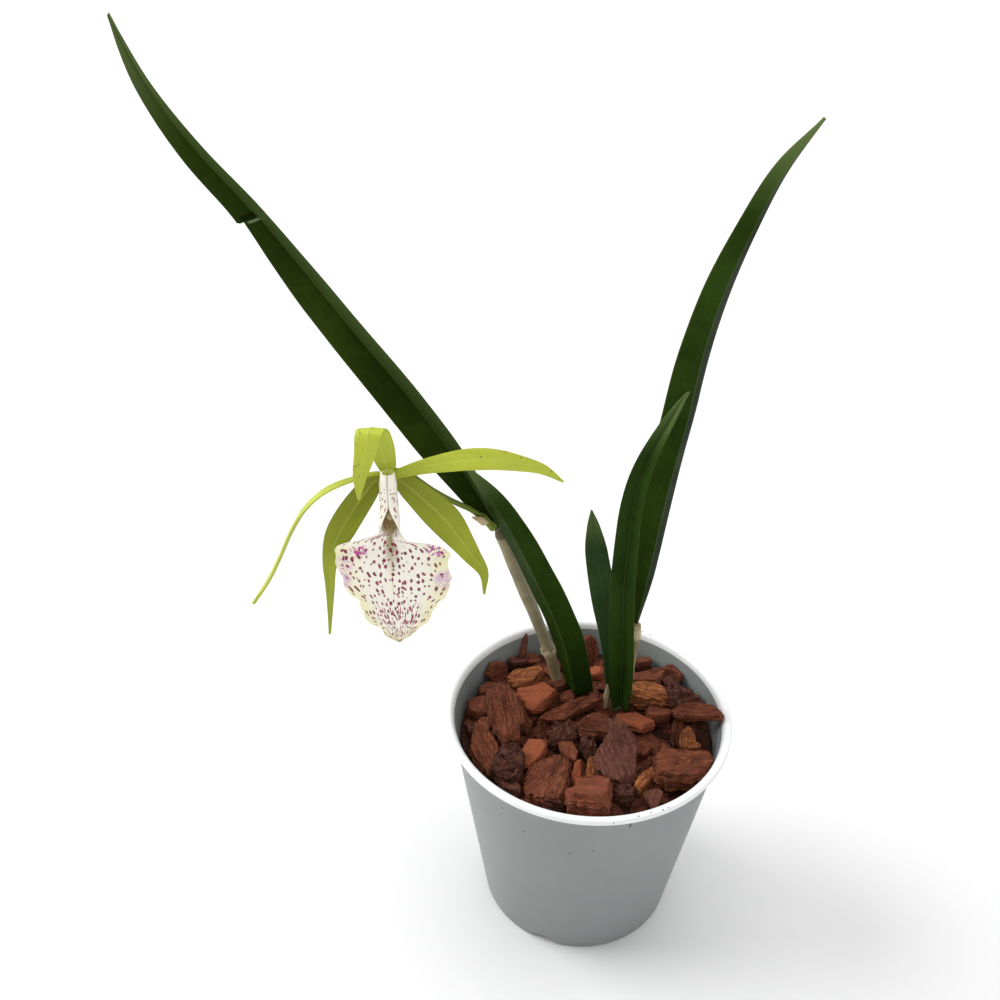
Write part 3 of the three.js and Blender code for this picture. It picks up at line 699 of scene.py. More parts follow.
@dataclass(frozen=True)
class LeafFinish:
    """Leathery green with fine veins, a pale midrib and a thin pale margin; a right half painted
    lighter (painted light) on one leaf and darker (painted shade) on another, and a painted shadow at a
    crease.
    """

    name: str
    green: Color
    deep: Color
    vein: Color
    midrib: Color
    tip: Color
    rough: float = 0.5
    right: Color | None = None  # colour of the right half where set: painted light on the creased leaf, painted shade on the deep green one
    crease: float | None = None  # the share of the length where the leaf was once bent

    def make(self) -> Material:
        """Builds the material.

        Returns:
            The new material.
        """
        finish = Finish(self.name, Roughness=self.rough, Specular_IOR_Level=0.03)
        graph = finish.graph
        u, v = finish.across_along()
        base = finish.effect(Effect.MOTTLE,
                             {"Color": self.green, "Other": self.deep, "Amount": 0.8, "Scale": 45.0})
        lines = finish.effect(Effect.VEINS, {"Color": base.outputs["Color"], "Vein": self.vein,
                                             "Amount": 0.30, "Count": 26.0})
        color = lines.outputs["Color"]
        centre = graph.math("ABSOLUTE", graph.minus(u, 0.5))
        rib = graph.band(centre, 0.004, 0.024, 0.5, 0.0)
        color = graph.mix(rib, color, self.midrib)
        margin = graph.band(centre, 0.484, 0.497, 0.0, 0.55)
        color = graph.mix(margin, color, self.midrib)
        # Painted light and shade: the right half takes a lighter colour where the lamps light it and a
        # darker one where it lies in shade.
        if self.right is not None:
            half = graph.band(u, 0.50, 0.47, 0.0, 0.75)
            color = graph.mix(half, color, self.right)
        end = graph.band(v, 0.80, 1.0, 0.0, 0.75)
        color = graph.mix(end, color, self.tip)
        if self.crease is not None:
            color = self._crease_shadow_and_line(graph, u, v, color)
        finish.wear("Base Color", color)
        rough = graph.band(base.outputs["Blotch"], 0.0, 1.0, self.rough - 0.05, self.rough + 0.09)
        finish.wear("Roughness", rough)
        finish.relief(lines.outputs["Height"], 0.05, 0.5)
        return finish.material

    def _crease_shadow_and_line(self, graph: Graph, u: Socket, v: Socket, color: Socket) -> Socket:
        """Lays a pale line along the crease and, just above it, the painted shadow of the fold.

        Args:
            graph: the material's graph.
            u: the share across the leaf.
            v: the share along it.
            color: the colour so far.

        Returns:
            The colour with the crease.
        """
        slant = graph.times(graph.minus(u, 0.5), 2 * CREASE_SLANT)
        off = graph.minus(graph.minus(v, self.crease), slant)
        far = graph.math("ABSOLUTE", graph.minus(off, 0.007))
        inner = graph.band(u, 0.30, 0.50)
        inner = graph.times(inner, graph.band(u, 0.93, 0.80))
        # Painted shadow: a near-black band just above the crease, where the raised fold shades the
        # leaf.
        dark = graph.times(graph.band(far, 0.002, 0.008, 0.8, 0.0), inner)
        near = graph.math("ABSOLUTE", graph.plus(off, 0.004))
        pale = graph.times(graph.band(near, 0.0015, 0.0035, 0.75, 0.0), inner)
        color = graph.mix(dark, color, tone(16, 20, 6))
        return graph.mix(pale, color, tone(132, 142, 112))


@dataclass(frozen=True)
class PetalFinish:
    """Soft yellow-green with fine veins, darkening towards its foot as painted shade, and a few brown
    specks.
    """

    name: str
    green: Color
    olive_and_painted_shade: Color
    vein: Color
    specks: float = 0.0  # share of the places that carry a speck
    foot: float = 0.35  # how far the painted shade reaches up from the foot

    def make(self) -> Material:
        """Builds the material.

        Returns:
            The new material.
        """
        finish = Finish(self.name, Roughness=0.46, Specular_IOR_Level=0.3, Subsurface_Weight=0.12,
                        Subsurface_Scale=0.0012)
        graph = finish.graph
        u, v = finish.across_along()
        # Painted shade: the blade darkens towards its foot, in the middle of the flower.
        foot = graph.band(v, 0.02, self.foot, 0.85, 0.0)
        ground = graph.mix(foot, self.green, self.olive_and_painted_shade)
        base = finish.effect(Effect.MOTTLE,
                             {"Color": ground, "Other": self.olive_and_painted_shade, "Amount": 0.28, "Scale": 120.0})
        lines = finish.effect(Effect.VEINS, {"Color": base.outputs["Color"], "Vein": self.vein,
                                             "Amount": 0.2, "Count": 11.0, "Wander": 0.05})
        color = lines.outputs["Color"]
        centre = graph.math("ABSOLUTE", graph.minus(u, 0.5))
        color = graph.mix(graph.band(centre, 0.01, 0.05, 0.25, 0.0), color, self.vein)
        edge = graph.band(centre, 0.44, 0.5, 0.0, 0.4)
        color = graph.mix(edge, color, self.olive_and_painted_shade)
        where = finish.object_place()
        spots = finish.effect(Effect.SPECKLE,
                              {"Vector": where, "Scale": 1250.0, "Size": 0.3, "Share": self.specks})
        side = graph.times(graph.band(u, 0.42, 0.62), graph.band(v, 0.42, 0.52))
        mark = graph.times(spots.outputs["Spot"], side)
        color = graph.mix(graph.times(mark, 0.75), color, tone(104, 66, 44))
        finish.wear("Base Color", color)
        finish.relief(lines.outputs["Height"], 0.06, 0.6)
        return finish.material


@dataclass(frozen=True)
class Blush:
    """A patch of colour on the lip."""

    centre: Point  # mm
    reach: float  # mm
    color: Color
    strength: float
    broken: bool  # made of short scribbles, not one soft patch


@dataclass(frozen=True)
class LipFinish:
    """Cream, yellower at the margin, with crimson spots in rows that fan out from the throat."""

    name: str
    cream: Color = tone(253, 248, 236)
    margin: Color = tone(243, 238, 186)
    throat: Color = tone(150, 138, 84)
    crimson: Color = tone(150, 0, 70)
    wine: Color = tone(104, 0, 52)
    blushes: tuple[Blush, ...] = (
        Blush((-66.6, -17.2, 150.6), 3.3, tone(190, 50, 150), 0.95, True),
        Blush((-46.0, -17.0, 151.6), 3.8, tone(184, 70, 180), 0.9, True),
        Blush((-70.6, -18.2, 146.6), 3.4, tone(222, 190, 222), 0.7, False),
        Blush((-71.4, -18.6, 141.4), 3.6, tone(214, 172, 214), 0.8, False),
        Blush((-43.6, -18.6, 142.6), 3.8, tone(212, 172, 216), 0.8, False),
    )

    def make(self) -> Material:
        """Builds the material.

        Returns:
            The new material.
        """
        finish = Finish(self.name, Roughness=0.55, Specular_IOR_Level=0.2)
        graph = finish.graph
        u, v = finish.across_along()
        centre = graph.math("ABSOLUTE", graph.minus(u, 0.5))
        blade = graph.band(v, 0.35, 0.44)
        edge = graph.times(graph.band(centre, 0.22, 0.49, 0.0, 0.75), blade)
        color = graph.mix(edge, self.cream, self.margin)
        color = graph.mix(graph.band(v, 0.86, 1.0, 0.0, 0.55), color, self.margin)
        color = self._throat(graph, centre, v, color)
        for blush in self.blushes:
            color = self._blush(finish, blush, color)
        color = self._spots(finish, u, v, centre, color)
        lines = finish.effect(Effect.VEINS, {"Color": color, "Vein": self.margin, "Amount": 0.12,
                                             "Count": 17.0, "Wander": 0.06})
        finish.wear("Base Color", lines.outputs["Color"])
        finish.relief(lines.outputs["Height"], 0.09, 0.6)
        return finish.material

    def _throat(self, graph: Graph, centre: Socket, v: Socket, color: Socket) -> Socket:
        """Darkens the groove that runs out of the tube.

        Args:
            graph: the material's graph.
            centre: how far off the middle a point is, as a share.
            v: the share along the lip.
            color: the colour so far.

        Returns:
            The colour with the groove.
        """
        inside = graph.times(graph.band(v, 0.22, 0.27), graph.band(v, 0.36, 0.31))
        color = graph.mix(graph.times(graph.band(centre, 0.30, 0.22), inside), color, self.throat)
        deep = graph.times(graph.band(centre, 0.02, 0.09, 0.85, 0.0), graph.band(v, 0.60, 0.36))
        color = graph.mix(deep, color, self.throat)
        thin = graph.times(graph.band(centre, 0.002, 0.012, 0.55, 0.0), graph.band(v, 0.82, 0.5))
        return graph.mix(thin, color, tone(196, 172, 120))

    def _blush(self, finish: Finish, blush: Blush, color: Socket) -> Socket:
        """Lays one patch of colour.

        Args:
            finish: the material under construction.
            blush: the patch.
            color: the colour so far.

        Returns:
            The colour with the patch.
        """
        graph = finish.graph
        spot = tuple(value * MM for value in blush.centre)
        off = graph.vector("SUBTRACT", finish.object_place(), spot)
        far = graph.length(off)
        near = graph.band(far, blush.reach * MM, blush.reach * 0.45 * MM)
        if blush.broken:
            marks = graph.noise(finish.object_place(), 1050.0, 2.0)
            near = graph.times(near, graph.band(marks, 0.47, 0.56))
        else:
            cloud = graph.noise(finish.object_place(), 700.0, 2.0)
            near = graph.times(near, graph.band(cloud, 0.25, 0.6))
        return graph.mix(graph.times(near, blush.strength), color, blush.color)

    def _spots(self, finish: Finish, u: Socket, v: Socket, centre: Socket, color: Socket) -> Socket:
        """Lays the rows of spots, closer along the middle and towards the tip.

        Args:
            finish: the material under construction.
            u: the share across the lip.
            v: the share along it.
            centre: how far off the middle a point is, as a share.
            color: the ground colour.

        Returns:
            The colour with its spots.
        """
        graph = finish.graph
        patchy = graph.noise(finish.object_place(), 260.0, 2.0)
        wobble = graph.noise(finish.object_place(), 420.0, 2.0)
        shift = graph.vector("MULTIPLY", wobble, (0.7, 1.1, 0))
        open_part = graph.band(centre, 0.49, 0.44)
        middle = graph.band(centre, 0.16, 0.08)
        tip = graph.band(v, 0.78, 0.93)
        dense = graph.math("MAXIMUM", middle, tip)
        layers = ((18.0, 23.0, 0.265, 0.9, open_part, 0.18), (25.0, 31.0, 0.3, 0.4, dense, 0.0))
        for number, (rows, steps, size, share, room, bare) in enumerate(layers):
            where = graph.add("ShaderNodeCombineXYZ", {
                0: graph.times(u, rows), 1: graph.times(v, steps), 2: 0.0}).outputs[0]
            inputs = {"Vector": graph.vector("ADD", where, shift), "Scale": 1.0, "Randomness": 0.7}
            cells = graph.add("ShaderNodeTexVoronoi", inputs, voronoi_dimensions="2D")
            kinds = graph.add("ShaderNodeSeparateColor", {0: cells.outputs["Color"]})
            own = graph.times(graph.plus(0.62, graph.times(kinds.outputs[1], 0.6)), size)
            spot = graph.band(cells.outputs[0], graph.times(own, 0.82), own, 1.0, 0.0)
            kept = graph.math("LESS_THAN", kinds.outputs[0], share)
            mask = graph.times(spot, graph.band(patchy, bare, bare + 0.14))
            mask = graph.times(graph.times(mask, room), kept)
            mask = graph.times(mask, graph.band(v, 0.05, 0.09))
            ink = graph.mix(kinds.outputs[2], self.crimson, self.wine)
            color = graph.mix(graph.times(mask, 0.94), color, ink)
        return self._streaks(finish, centre, v, color)

    def _streaks(self, finish: Finish, centre: Socket, v: Socket, color: Socket) -> Socket:
        """Runs the spots into streaks beside the midrib and at the tip.

        Args:
            finish: the material under construction.
            centre: how far off the middle a point is, as a share.
            v: the share along the lip.
            color: the colour so far.

        Returns:
            The colour with its streaks.
        """
        graph = finish.graph
        long = graph.add("ShaderNodeCombineXYZ", {
            0: graph.times(centre, 34.0), 1: graph.times(v, 17.0), 2: 4.0}).outputs[0]
        broken = graph.band(graph.noise(long, 1.0, 1.0), 0.555, 0.60)
        reach = graph.times(graph.band(v, 0.70, 0.80), graph.band(v, 0.985, 0.93))
        reach = graph.times(reach, graph.band(centre, 0.36, 0.22))
        return graph.mix(graph.times(broken, graph.times(reach, 0.9)), color, self.crimson)


@dataclass(frozen=True)
class StemFinish:
    """A stem's skin: furrowed along it, with blotches of a second colour."""

    name: str
    skin: Color
    shade: Color
    furrow: Color
    rough: float = 0.5
    furrows: float = 13.0
    bands: tuple[tuple[float, float, Color], ...] = ()  # share along, half width, colour

    def make(self) -> Material:
        """Builds the material.

        Returns:
            The new material.
        """
        finish = Finish(self.name, Roughness=self.rough, Specular_IOR_Level=0.3)
        graph = finish.graph
        _, v = finish.across_along()
        base = finish.effect(Effect.MOTTLE,
                             {"Color": self.skin, "Other": self.shade, "Amount": 0.75, "Scale": 110.0})
        lines = finish.effect(Effect.VEINS,
                              {"Color": base.outputs["Color"], "Vein": self.furrow, "Amount": 0.6,
                               "Count": self.furrows, "Wander": 0.03})
        color = lines.outputs["Color"]
        for share, half, band_color in self.bands:
            off = graph.math("ABSOLUTE", graph.minus(v, share))
            color = graph.mix(graph.band(off, half * 0.4, half, 0.85, 0.0), color, band_color)
        finish.wear("Base Color", color)
        finish.relief(lines.outputs["Height"], 0.12, 0.7)
        return finish.material


@dataclass(frozen=True)
class BarkFinish:
    """Torn bark in one of its colours."""

    name: str
    color: Color
    dark: Color
    light: Color
    fibre: float = 0.6
    flecks: float = 0.1
    depth: float = 0.8

    def make(self) -> Material:
        """Builds the material.

        Returns:
            The new material.
        """
        finish = Finish(self.name, Roughness=0.82, Specular_IOR_Level=0.2)
        bark = finish.effect(Effect.BARK,
                             {"Color": self.color, "Dark": self.dark, "Light": self.light,
                              "Fibre": self.fibre, "Flecks": self.flecks})
        finish.wear("Base Color", bark.outputs["Color"])
        finish.relief(bark.outputs["Height"], self.depth, 0.8)
        return finish.material


@dataclass(frozen=True)
class PotFinish:
    """Matt grey moulded plastic with a near-white painted highlight over its rim, and specks of dirt.
    """

    name: str
    grey: Color
    cloud: Color
    # rim: a near-white painted highlight over the whole rim
    rim: Color
    rim_from: float  # height of the rim's underside, in mm
    marks: tuple[Point, ...] = (
        (10.7, -40.9, 71.5, 0.5), (10.7, -40.8, 70.8, 0.45), (10.7, -40.7, 70.2, 0.4),
        (-26.3, -32.2, 67.4, 0.4), (-19.6, -35.6, 61.2, 0.4), (0.6, -40.3, 59, 0.4),
        (-6.2, -39.4, 56.4, 0.35), (33, -24.7, 65, 0.4), (-37.1, -18.3, 66, 0.4),
        (5.2, -44.6, 76.2, 0.3), (12.4, -42.6, 77, 0.35), (16, -41.2, 77, 0.3),
        (19.6, -40, 77, 0.35), (21.2, -39.2, 77, 0.25), (17.4, 39.8, 77, 0.35),
        (20.4, 38.6, 77, 0.3), (23, 37, 77, 0.35))  # specks of soil: place and radius in mm

    def make(self) -> Material:
        """Builds the material.

        Returns:
            The new material.
        """
        finish = Finish(self.name, Roughness=0.45, Specular_IOR_Level=0.35)
        graph = finish.graph
        where = finish.object_place()
        base = finish.effect(Effect.MOTTLE,
                             {"Color": self.grey, "Other": self.cloud, "Amount": 0.5, "Scale": 16.0})
        height = graph.add("ShaderNodeSeparateXYZ", {0: where}).outputs[2]
        # Painted highlight: from the rim's underside up, the plastic turns near white.
        edge = graph.band(height, (self.rim_from - 0.25) * MM, (self.rim_from + 0.1) * MM)
        color = graph.mix(edge, base.outputs["Color"], self.rim)
        spots = finish.effect(Effect.SPECKLE, {"Vector": where, "Scale": 300.0, "Size": 0.06,
                                               "Share": 0.06, "Spread": 1.0})
        color = graph.mix(graph.times(spots.outputs["Spot"], 0.7), color, tone(70, 62, 56))
        for *place, radius in self.marks:
            far = graph.length(graph.vector("SUBTRACT", where, tuple(value * MM for value in place)))
            near = graph.band(far, radius * 0.6 * MM, radius * MM, 0.85, 0.0)
            color = graph.mix(near, color, tone(38, 32, 30))
        finish.wear("Base Color", color)
        pebble = graph.noise(where, 2600.0, 2.0)
        finish.relief(pebble, 0.02, 0.4)
        return finish.material


def dress(piece: Piece, material: Material | None, slot: str, *nodes: str) -> Piece:
    """Gives a piece its material and its body, and hides the solids that it stands for.

    Args:
        piece: the piece.
        material: its material, or None where its tree has set it.
        slot: the slot of the record that it takes its finish from; not used.
        nodes: the solids that it stands for.

    Returns:
        The same piece.
    """
    if material is not None:
        piece.data.materials.clear()
        piece.data.materials.append(material)
    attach(piece, BODY)
    if nodes:
        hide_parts(*nodes)
    LOG.info("%s: %d faces", piece.name, len(piece.data.polygons))
    return piece


# The pot


@dataclass
class NurseryPot:
    """A round moulded pot with a flat ringed rim, a foot ring with notches and drain holes."""

    height: float = 77
    rim_radius: float = 45
    rim_inner: float = 42.2
    rim_depth: float = 2
    neck_radius: float = 42.7
    base_radius: float = 31
    wall: float = 1.1
    foot: float = 2.2
    channel: float = 3
    centre_radius: float = 17
    slope: float = 1.5
    floor: float = 1.4
    notches: int = 3
    notch_width: float = 9
    notch_height: float = 2.4
    notch_angle: float = -112
    drains: int = 8
    drain_radius: float = 2.4
    drain_ring: float = 23
    segments: int = 288

    def wall_radius(self, z: float | Array) -> float | Array:
        """Gives the outer radius of the wall at a height."""
        neck = self.height - self.rim_depth - 0.6
        return self.base_radius + (self.neck_radius - self.base_radius) * z / neck

    def profile(self) -> Array:
        """Lists the radius and height of the section, from the middle of the underside round.

        Returns:
            One radius and height in mm a row.
        """
        neck = self.height - self.rim_depth - 0.6
        floor = self.channel + self.floor
        inner = self.base_radius - self.foot
        low, top = self.height - self.rim_depth, self.height
        corners = [
            (self.centre_radius - 0.4, 0), (self.centre_radius, 0.3),
            (self.centre_radius + self.slope, self.channel),
            (inner - self.slope / 2, self.channel), (inner - 0.2, 0.4), (inner + 0.2, 0),
            (self.base_radius - 0.5, 0), (self.base_radius, 0.5),
        ]
        corners += [(self.wall_radius(z), z) for z in (1.2, 2.2, 3.2, 5, 12, 30, 50, 68)]
        corners += [(self.neck_radius, neck - 0.3), (self.neck_radius + 0.25, neck)]
        corners += [(self.rim_radius - 0.6, low), (self.rim_radius - 0.15, low + 0.15),
                    (self.rim_radius, low + 0.5), (self.rim_radius, top - 0.6)]
        corners += [(self.rim_radius - 0.04, top - 0.35), (self.rim_radius - 0.18, top - 0.12),
                    (self.rim_radius - 0.45, top), (self.rim_radius - 0.6, top),
                    (self.rim_inner + 1.5, top), (self.rim_inner + 1.2, top - 0.03),
                    (self.rim_inner + 0.75, top - 0.25), (self.rim_inner + 0.35, top - 0.65),
                    (self.rim_inner + 0.1, top - 1.15), (self.rim_inner, top - 1.6)]
        corners += [(self.wall_radius(neck - 1.0) - self.wall, neck - 1.2)]
        corners += [(self.wall_radius(z) - self.wall, z) for z in (68, 50, 30, 8, floor + 0.6)]
        corners += [(self.wall_radius(floor) - self.wall - 0.6, floor),
                    (self.centre_radius + self.slope - self.floor, floor),
                    (self.centre_radius - self.floor, self.floor)]
        return np.array(corners, dtype=float)

    def build(self, plastic: Material) -> Piece:
        """Turns the section, lifts the foot at the notches and cuts the drain holes.

        Args:
            plastic: the pot's material.

        Returns:
            The new object.
        """
        profile = self.profile()
        angle = 2 * math.pi * np.arange(self.segments) / self.segments
        radius, height = profile[:, 0][:, None], profile[:, 1][:, None]
        lift = self._arch(np.degrees(angle))[None, :]
        outer = radius > self.base_radius - self.foot - 1
        low = np.where(outer, np.clip(1 - height / 3.2, 0, 1), 0)
        z = height + lift * low
        points = np.stack([radius * np.cos(angle), radius * np.sin(angle), z], axis=-1)
        size, rows = self.segments, len(profile)
        faces = ring_faces(rows, size)
        faces.append(tuple(range(size - 1, -1, -1)))
        faces.append(tuple(range((rows - 1) * size, rows * size)))
        piece = mesh_piece("nursery_pot", points.reshape(-1, 3), faces)
        piece = drilled(piece, plastic, {"Count": self.drains, "Radius": self.drain_radius * MM,
                                         "Ring": self.drain_ring * MM})
        piece.data.set_sharp_from_angle(angle=math.radians(35))
        return piece

    def _arch(self, degrees: Array) -> Array:
        """Gives how far the foot is lifted at each angle.

        Args:
            degrees: the angles.

        Returns:
            The lifts in mm.
        """
        lift = np.zeros_like(degrees)
        for i in range(self.notches):
            middle = self.notch_angle + 360 * i / self.notches
            off = (degrees - middle + 180) % 360 - 180
            share = np.abs(np.radians(off)) * self.base_radius / (self.notch_width / 2)
            lift = np.maximum(lift, self.notch_height * np.clip(1 - share**2.6, 0, 1))
        return lift


def geometry_tree(name: str, sizes: dict[str, float | int]) -> tuple[Graph, Node, Node]:
    """Starts a geometry tree that has an input for each size.

    Args:
        name: the tree's name.
        sizes: the inputs with their values, whole for a count or a seed.

    Returns:
        The tree's graph, its input node and its output node.
    """
    tree = bpy.data.node_groups.new(name, "GeometryNodeTree")
    tree.interface.new_socket("Geometry", in_out="INPUT", socket_type="NodeSocketGeometry")
    tree.interface.new_socket("Geometry", in_out="OUTPUT", socket_type="NodeSocketGeometry")
    for label, value in sizes.items():
        kind = "NodeSocketInt" if isinstance(value, int) else "NodeSocketFloat"
        tree.interface.new_socket(label, in_out="INPUT", socket_type=kind)
    graph = Graph(tree)
    return graph, graph.add("NodeGroupInput"), graph.add("NodeGroupOutput")


def drilled(piece: Piece, plastic: Material, sizes: dict[str, float | int]) -> Piece:
    """Cuts a ring of round holes through the floor of the pot.

    Args:
        piece: the pot.
        plastic: its material.
        sizes: the Count of holes, the Radius of a hole and the Ring that they stand on, in metres.

    Returns:
        The pot with the holes in it.
    """
    graph, entry, leave = geometry_tree("Drain holes", sizes)
    circle = graph.add("GeometryNodeMeshCircle",
                       {"Vertices": entry.outputs["Count"], "Radius": entry.outputs["Ring"]})
    drill = graph.add("GeometryNodeMeshCylinder",
                      {"Vertices": 32, "Depth": 0.012, "Radius": entry.outputs["Radius"]})
    holes = graph.add("GeometryNodeInstanceOnPoints",
                      {"Points": circle.outputs[0], "Instance": drill.outputs[0]})
    solid = graph.add("GeometryNodeRealizeInstances", {0: holes.outputs[0]})
    cut = graph.add("GeometryNodeMeshBoolean", {0: entry.outputs["Geometry"], 1: solid.outputs[0]},
                    operation="DIFFERENCE", solver="EXACT")
    worn = graph.add("GeometryNodeSetMaterial", {"Geometry": cut.outputs[0], "Material": plastic})
    graph.link(worn.outputs[0], leave.inputs[0])
    return baked(piece, graph.tree, sizes)


def baked(piece: Piece, tree: Tree, sizes: dict[str, float | int]) -> Piece:
    """Runs a geometry tree on a piece and keeps the result as its plain mesh.

    Args:
        piece: the object to run it on.
        tree: the geometry node tree.
        sizes: values for its named inputs.

    Returns:
        The same object, with the result as its mesh and no modifier.
    """
    modifier = piece.modifiers.new(tree.name, "NODES")
    modifier.node_group = tree
    for item in tree.interface.items_tree:
        if item.item_type == "SOCKET" and item.in_out == "INPUT" and item.name in sizes:
            modifier[item.identifier] = sizes[item.name]
    depsgraph = bpy.context.evaluated_depsgraph_get()
    mesh = bpy.data.meshes.new_from_object(piece.evaluated_get(depsgraph))
    piece.modifiers.clear()
    piece.data = mesh
    return piece


# The bark


class Break(Enum):
    """How a chip of bark broke, with its number of facets and how rough its faces are."""

    FLAT = ("flat", 4, 0.35)
    FIBROUS = ("fibrous", 4, 1.0)
    LAYERED = ("layered", 5, 0.9)
    WRINKLED = ("wrinkled", 2, 1.4)
    CURVED = ("curved", 1, 0.6)

    def __init__(self, label: str, facets: int, rough: float) -> None:
        """Keeps how many flat facets are broken off its edges and how rough its faces are."""
        self.label, self.facets, self.rough = label, facets, rough


@dataclass(frozen=True)
class Chip:
    """One chip of bark: where it lies, its size and how it broke."""

    name: str
    at: Point
    size: Point
    turn: float
    lean: Point
    kind: Break
    finish: str
    corners: Point = ()  # x and y of each corner of its outline in turn, in mm from its place


class BarkChips:
    """The chips that lie on top, in the order in which they rest on one another."""

    CORNERS = 7
    SPREAD = 1.1  # how far torn fibres reach past the measured corners
    LEVELS = ((-0.5, 0.92), (0.1, 1.0), (0.5, 0.93))
    SLOTS = {"brown": "bark_brown", "golden": "bark_brown", "orange": "bark_orange",
             "orange_flecked": "bark_orange", "dark_purple": "bark_dark", "dark_flecked": "bark_dark"}

    def __init__(self, chips: Sequence[Chip], finishes: dict[str, Material]) -> None:
        """Takes the chips and the bark materials by name."""
        self.chips = chips
        self.finishes = finishes

    def outline(self, chip: Chip, number: int) -> Array:
        """Gives the chip's corners in mm, along and across it.

        Args:
            chip: the chip.
            number: its place in the heap, which sets its own unevenness.

        Returns:
            One corner a row.
        """
        if chip.corners:
            turn = math.radians(-chip.turn)
            spin = np.array([[math.cos(turn), -math.sin(turn)], [math.sin(turn), math.cos(turn)]])
            return np.array(chip.corners).reshape(-1, 2) @ spin.T * self.SPREAD
        c = np.arange(self.CORNERS)
        uneven = 0.09 * np.sin(5.3 * number + 5.8 * c) + 0.06 * np.sin(6.2 * number * c)
        angle = 2 * math.pi * (c + 2 * uneven) / self.CORNERS
        reach = 1 + uneven
        return np.stack([np.cos(angle) * reach * chip.size[0] / 2,
                         np.sin(angle) * reach * chip.size[1] / 2], axis=-1)

    def build(self) -> None:
        """Makes and dresses every chip."""
        for number, chip in enumerate(self.chips):
            piece = self._chip(chip, number)
            nodes = (chip.name,) if chip.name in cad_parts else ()
            dress(piece, self.finishes[chip.finish], self.SLOTS[chip.finish], *nodes)

    def _chip(self, chip: Chip, number: int) -> Piece:
        """Makes one chip's mesh.

        Args:
            chip: the chip.
            number: its place in the heap.

        Returns:
            The new object.
        """
        local, faces = self._block(self.outline(chip, number), chip.size[2], 2.1)
        shaped = self._faceted(self._broken(chip, local, number), chip, number)
        pose = (Matrix.Rotation(math.radians(chip.turn), 4, "Z")
                @ Matrix.Rotation(math.radians(-chip.lean[0]), 4, "Y")
                @ Matrix.Rotation(math.radians(chip.lean[1]), 4, "X"))
        turn = np.array(pose.to_3x3())
        points = self._inside(shaped @ turn.T + np.array(chip.at))
        piece = mesh_piece("bark_" + chip.name.removeprefix("chip_"), points, faces)
        add_grain(piece, shaped + 31.0 * number, 0.25 + 0.25 * math.sin(4.3 * number))
        piece.data.set_sharp_from_angle(angle=math.radians(24))
        return piece

    def _inside(self, points: Array) -> Array:
        """Keeps a chip off the pot's wall.

        Args:
            points: its places in mm.

        Returns:
            The places, moved inwards where they met the wall.
        """
        pot = NurseryPot()
        wall = pot.wall_radius(points[:, 2]) - pot.wall - 0.1
        room = np.where(points[:, 2] < pot.height, np.minimum(wall, pot.rim_inner - 0.1), np.inf)
        share = np.minimum(1, room / np.hypot(points[:, 0], points[:, 1]))
        return points * np.column_stack([share, share, np.ones_like(share)])

    def _faceted(self, points: Array, chip: Chip, number: int) -> Array:
        """Breaks flat facets off a chip's edges.

        Args:
            points: its places in mm.
            chip: the chip.
            number: its place in the heap.

        Returns:
            The places, moved back to the facets.
        """
        points = points.copy()
        for k in range(chip.kind.facets):
            angle = 2.4 * k + 1.7 * number
            rise = 0.25 + 0.5 * abs(math.sin(3.1 * k + number))
            normal = np.array([math.cos(angle) * math.cos(rise), math.sin(angle) * math.cos(rise),
                               math.sin(rise)])
            reach = points @ normal
            share = 0.80 + 0.13 * abs(math.sin(5.3 * k + 2 * number))
            over = np.maximum(reach - reach.max() * share, 0)
            points -= over[:, None] * normal
        return points

    def _block(self, outline: Array, thickness: float,
               density: float) -> tuple[Array, list[tuple[int, ...]]]:
        """Makes a dense prism over an outline.

        Args:
            outline: its corners in mm.
            thickness: its thickness in mm.
            density: points per mm.

        Returns:
            Places in mm and outward faces.
        """
        edges = np.roll(outline, -1, axis=0) - outline
        lengths = np.linalg.norm(edges, axis=1)
        loop = []
        for corner, edge, length in zip(outline, edges, lengths):
            count = max(3, round(length * density))
            loop += [corner + edge * k / count for k in range(count)]
        loop = np.array(loop)
        size = len(loop)
        inner = max(5, round(min(np.ptp(outline, axis=0)) * density / 2.2))
        spreads = np.linspace(0, 1, inner + 1)[1:]
        sides = max(6, round(thickness * 3))
        rings = [(s * 0.92, -0.5) for s in spreads]
        for k in range(1, sides):
            level = k / sides - 0.5
            widths = [w for _, w in self.LEVELS]
            rings.append((float(np.interp(level, [z for z, _ in self.LEVELS], widths)), level))
        rings += [(s * 0.93, 0.5) for s in spreads[::-1]]
        points = [np.column_stack([loop * share, np.full(size, level * thickness)]) for share,
                  level in rings]
        points = np.vstack([*points, [[0, 0, -thickness / 2]], [[0, 0, thickness / 2]]])
        faces = ring_faces(len(rings), size)
        bottom, top, last = len(points) - 2, len(points) - 1, (len(rings) - 1) * size
        for j in range(size):
            k = (j + 1) % size
            faces.append((bottom, k, j))
            faces.append((top, last + j, last + k))
        return points, faces

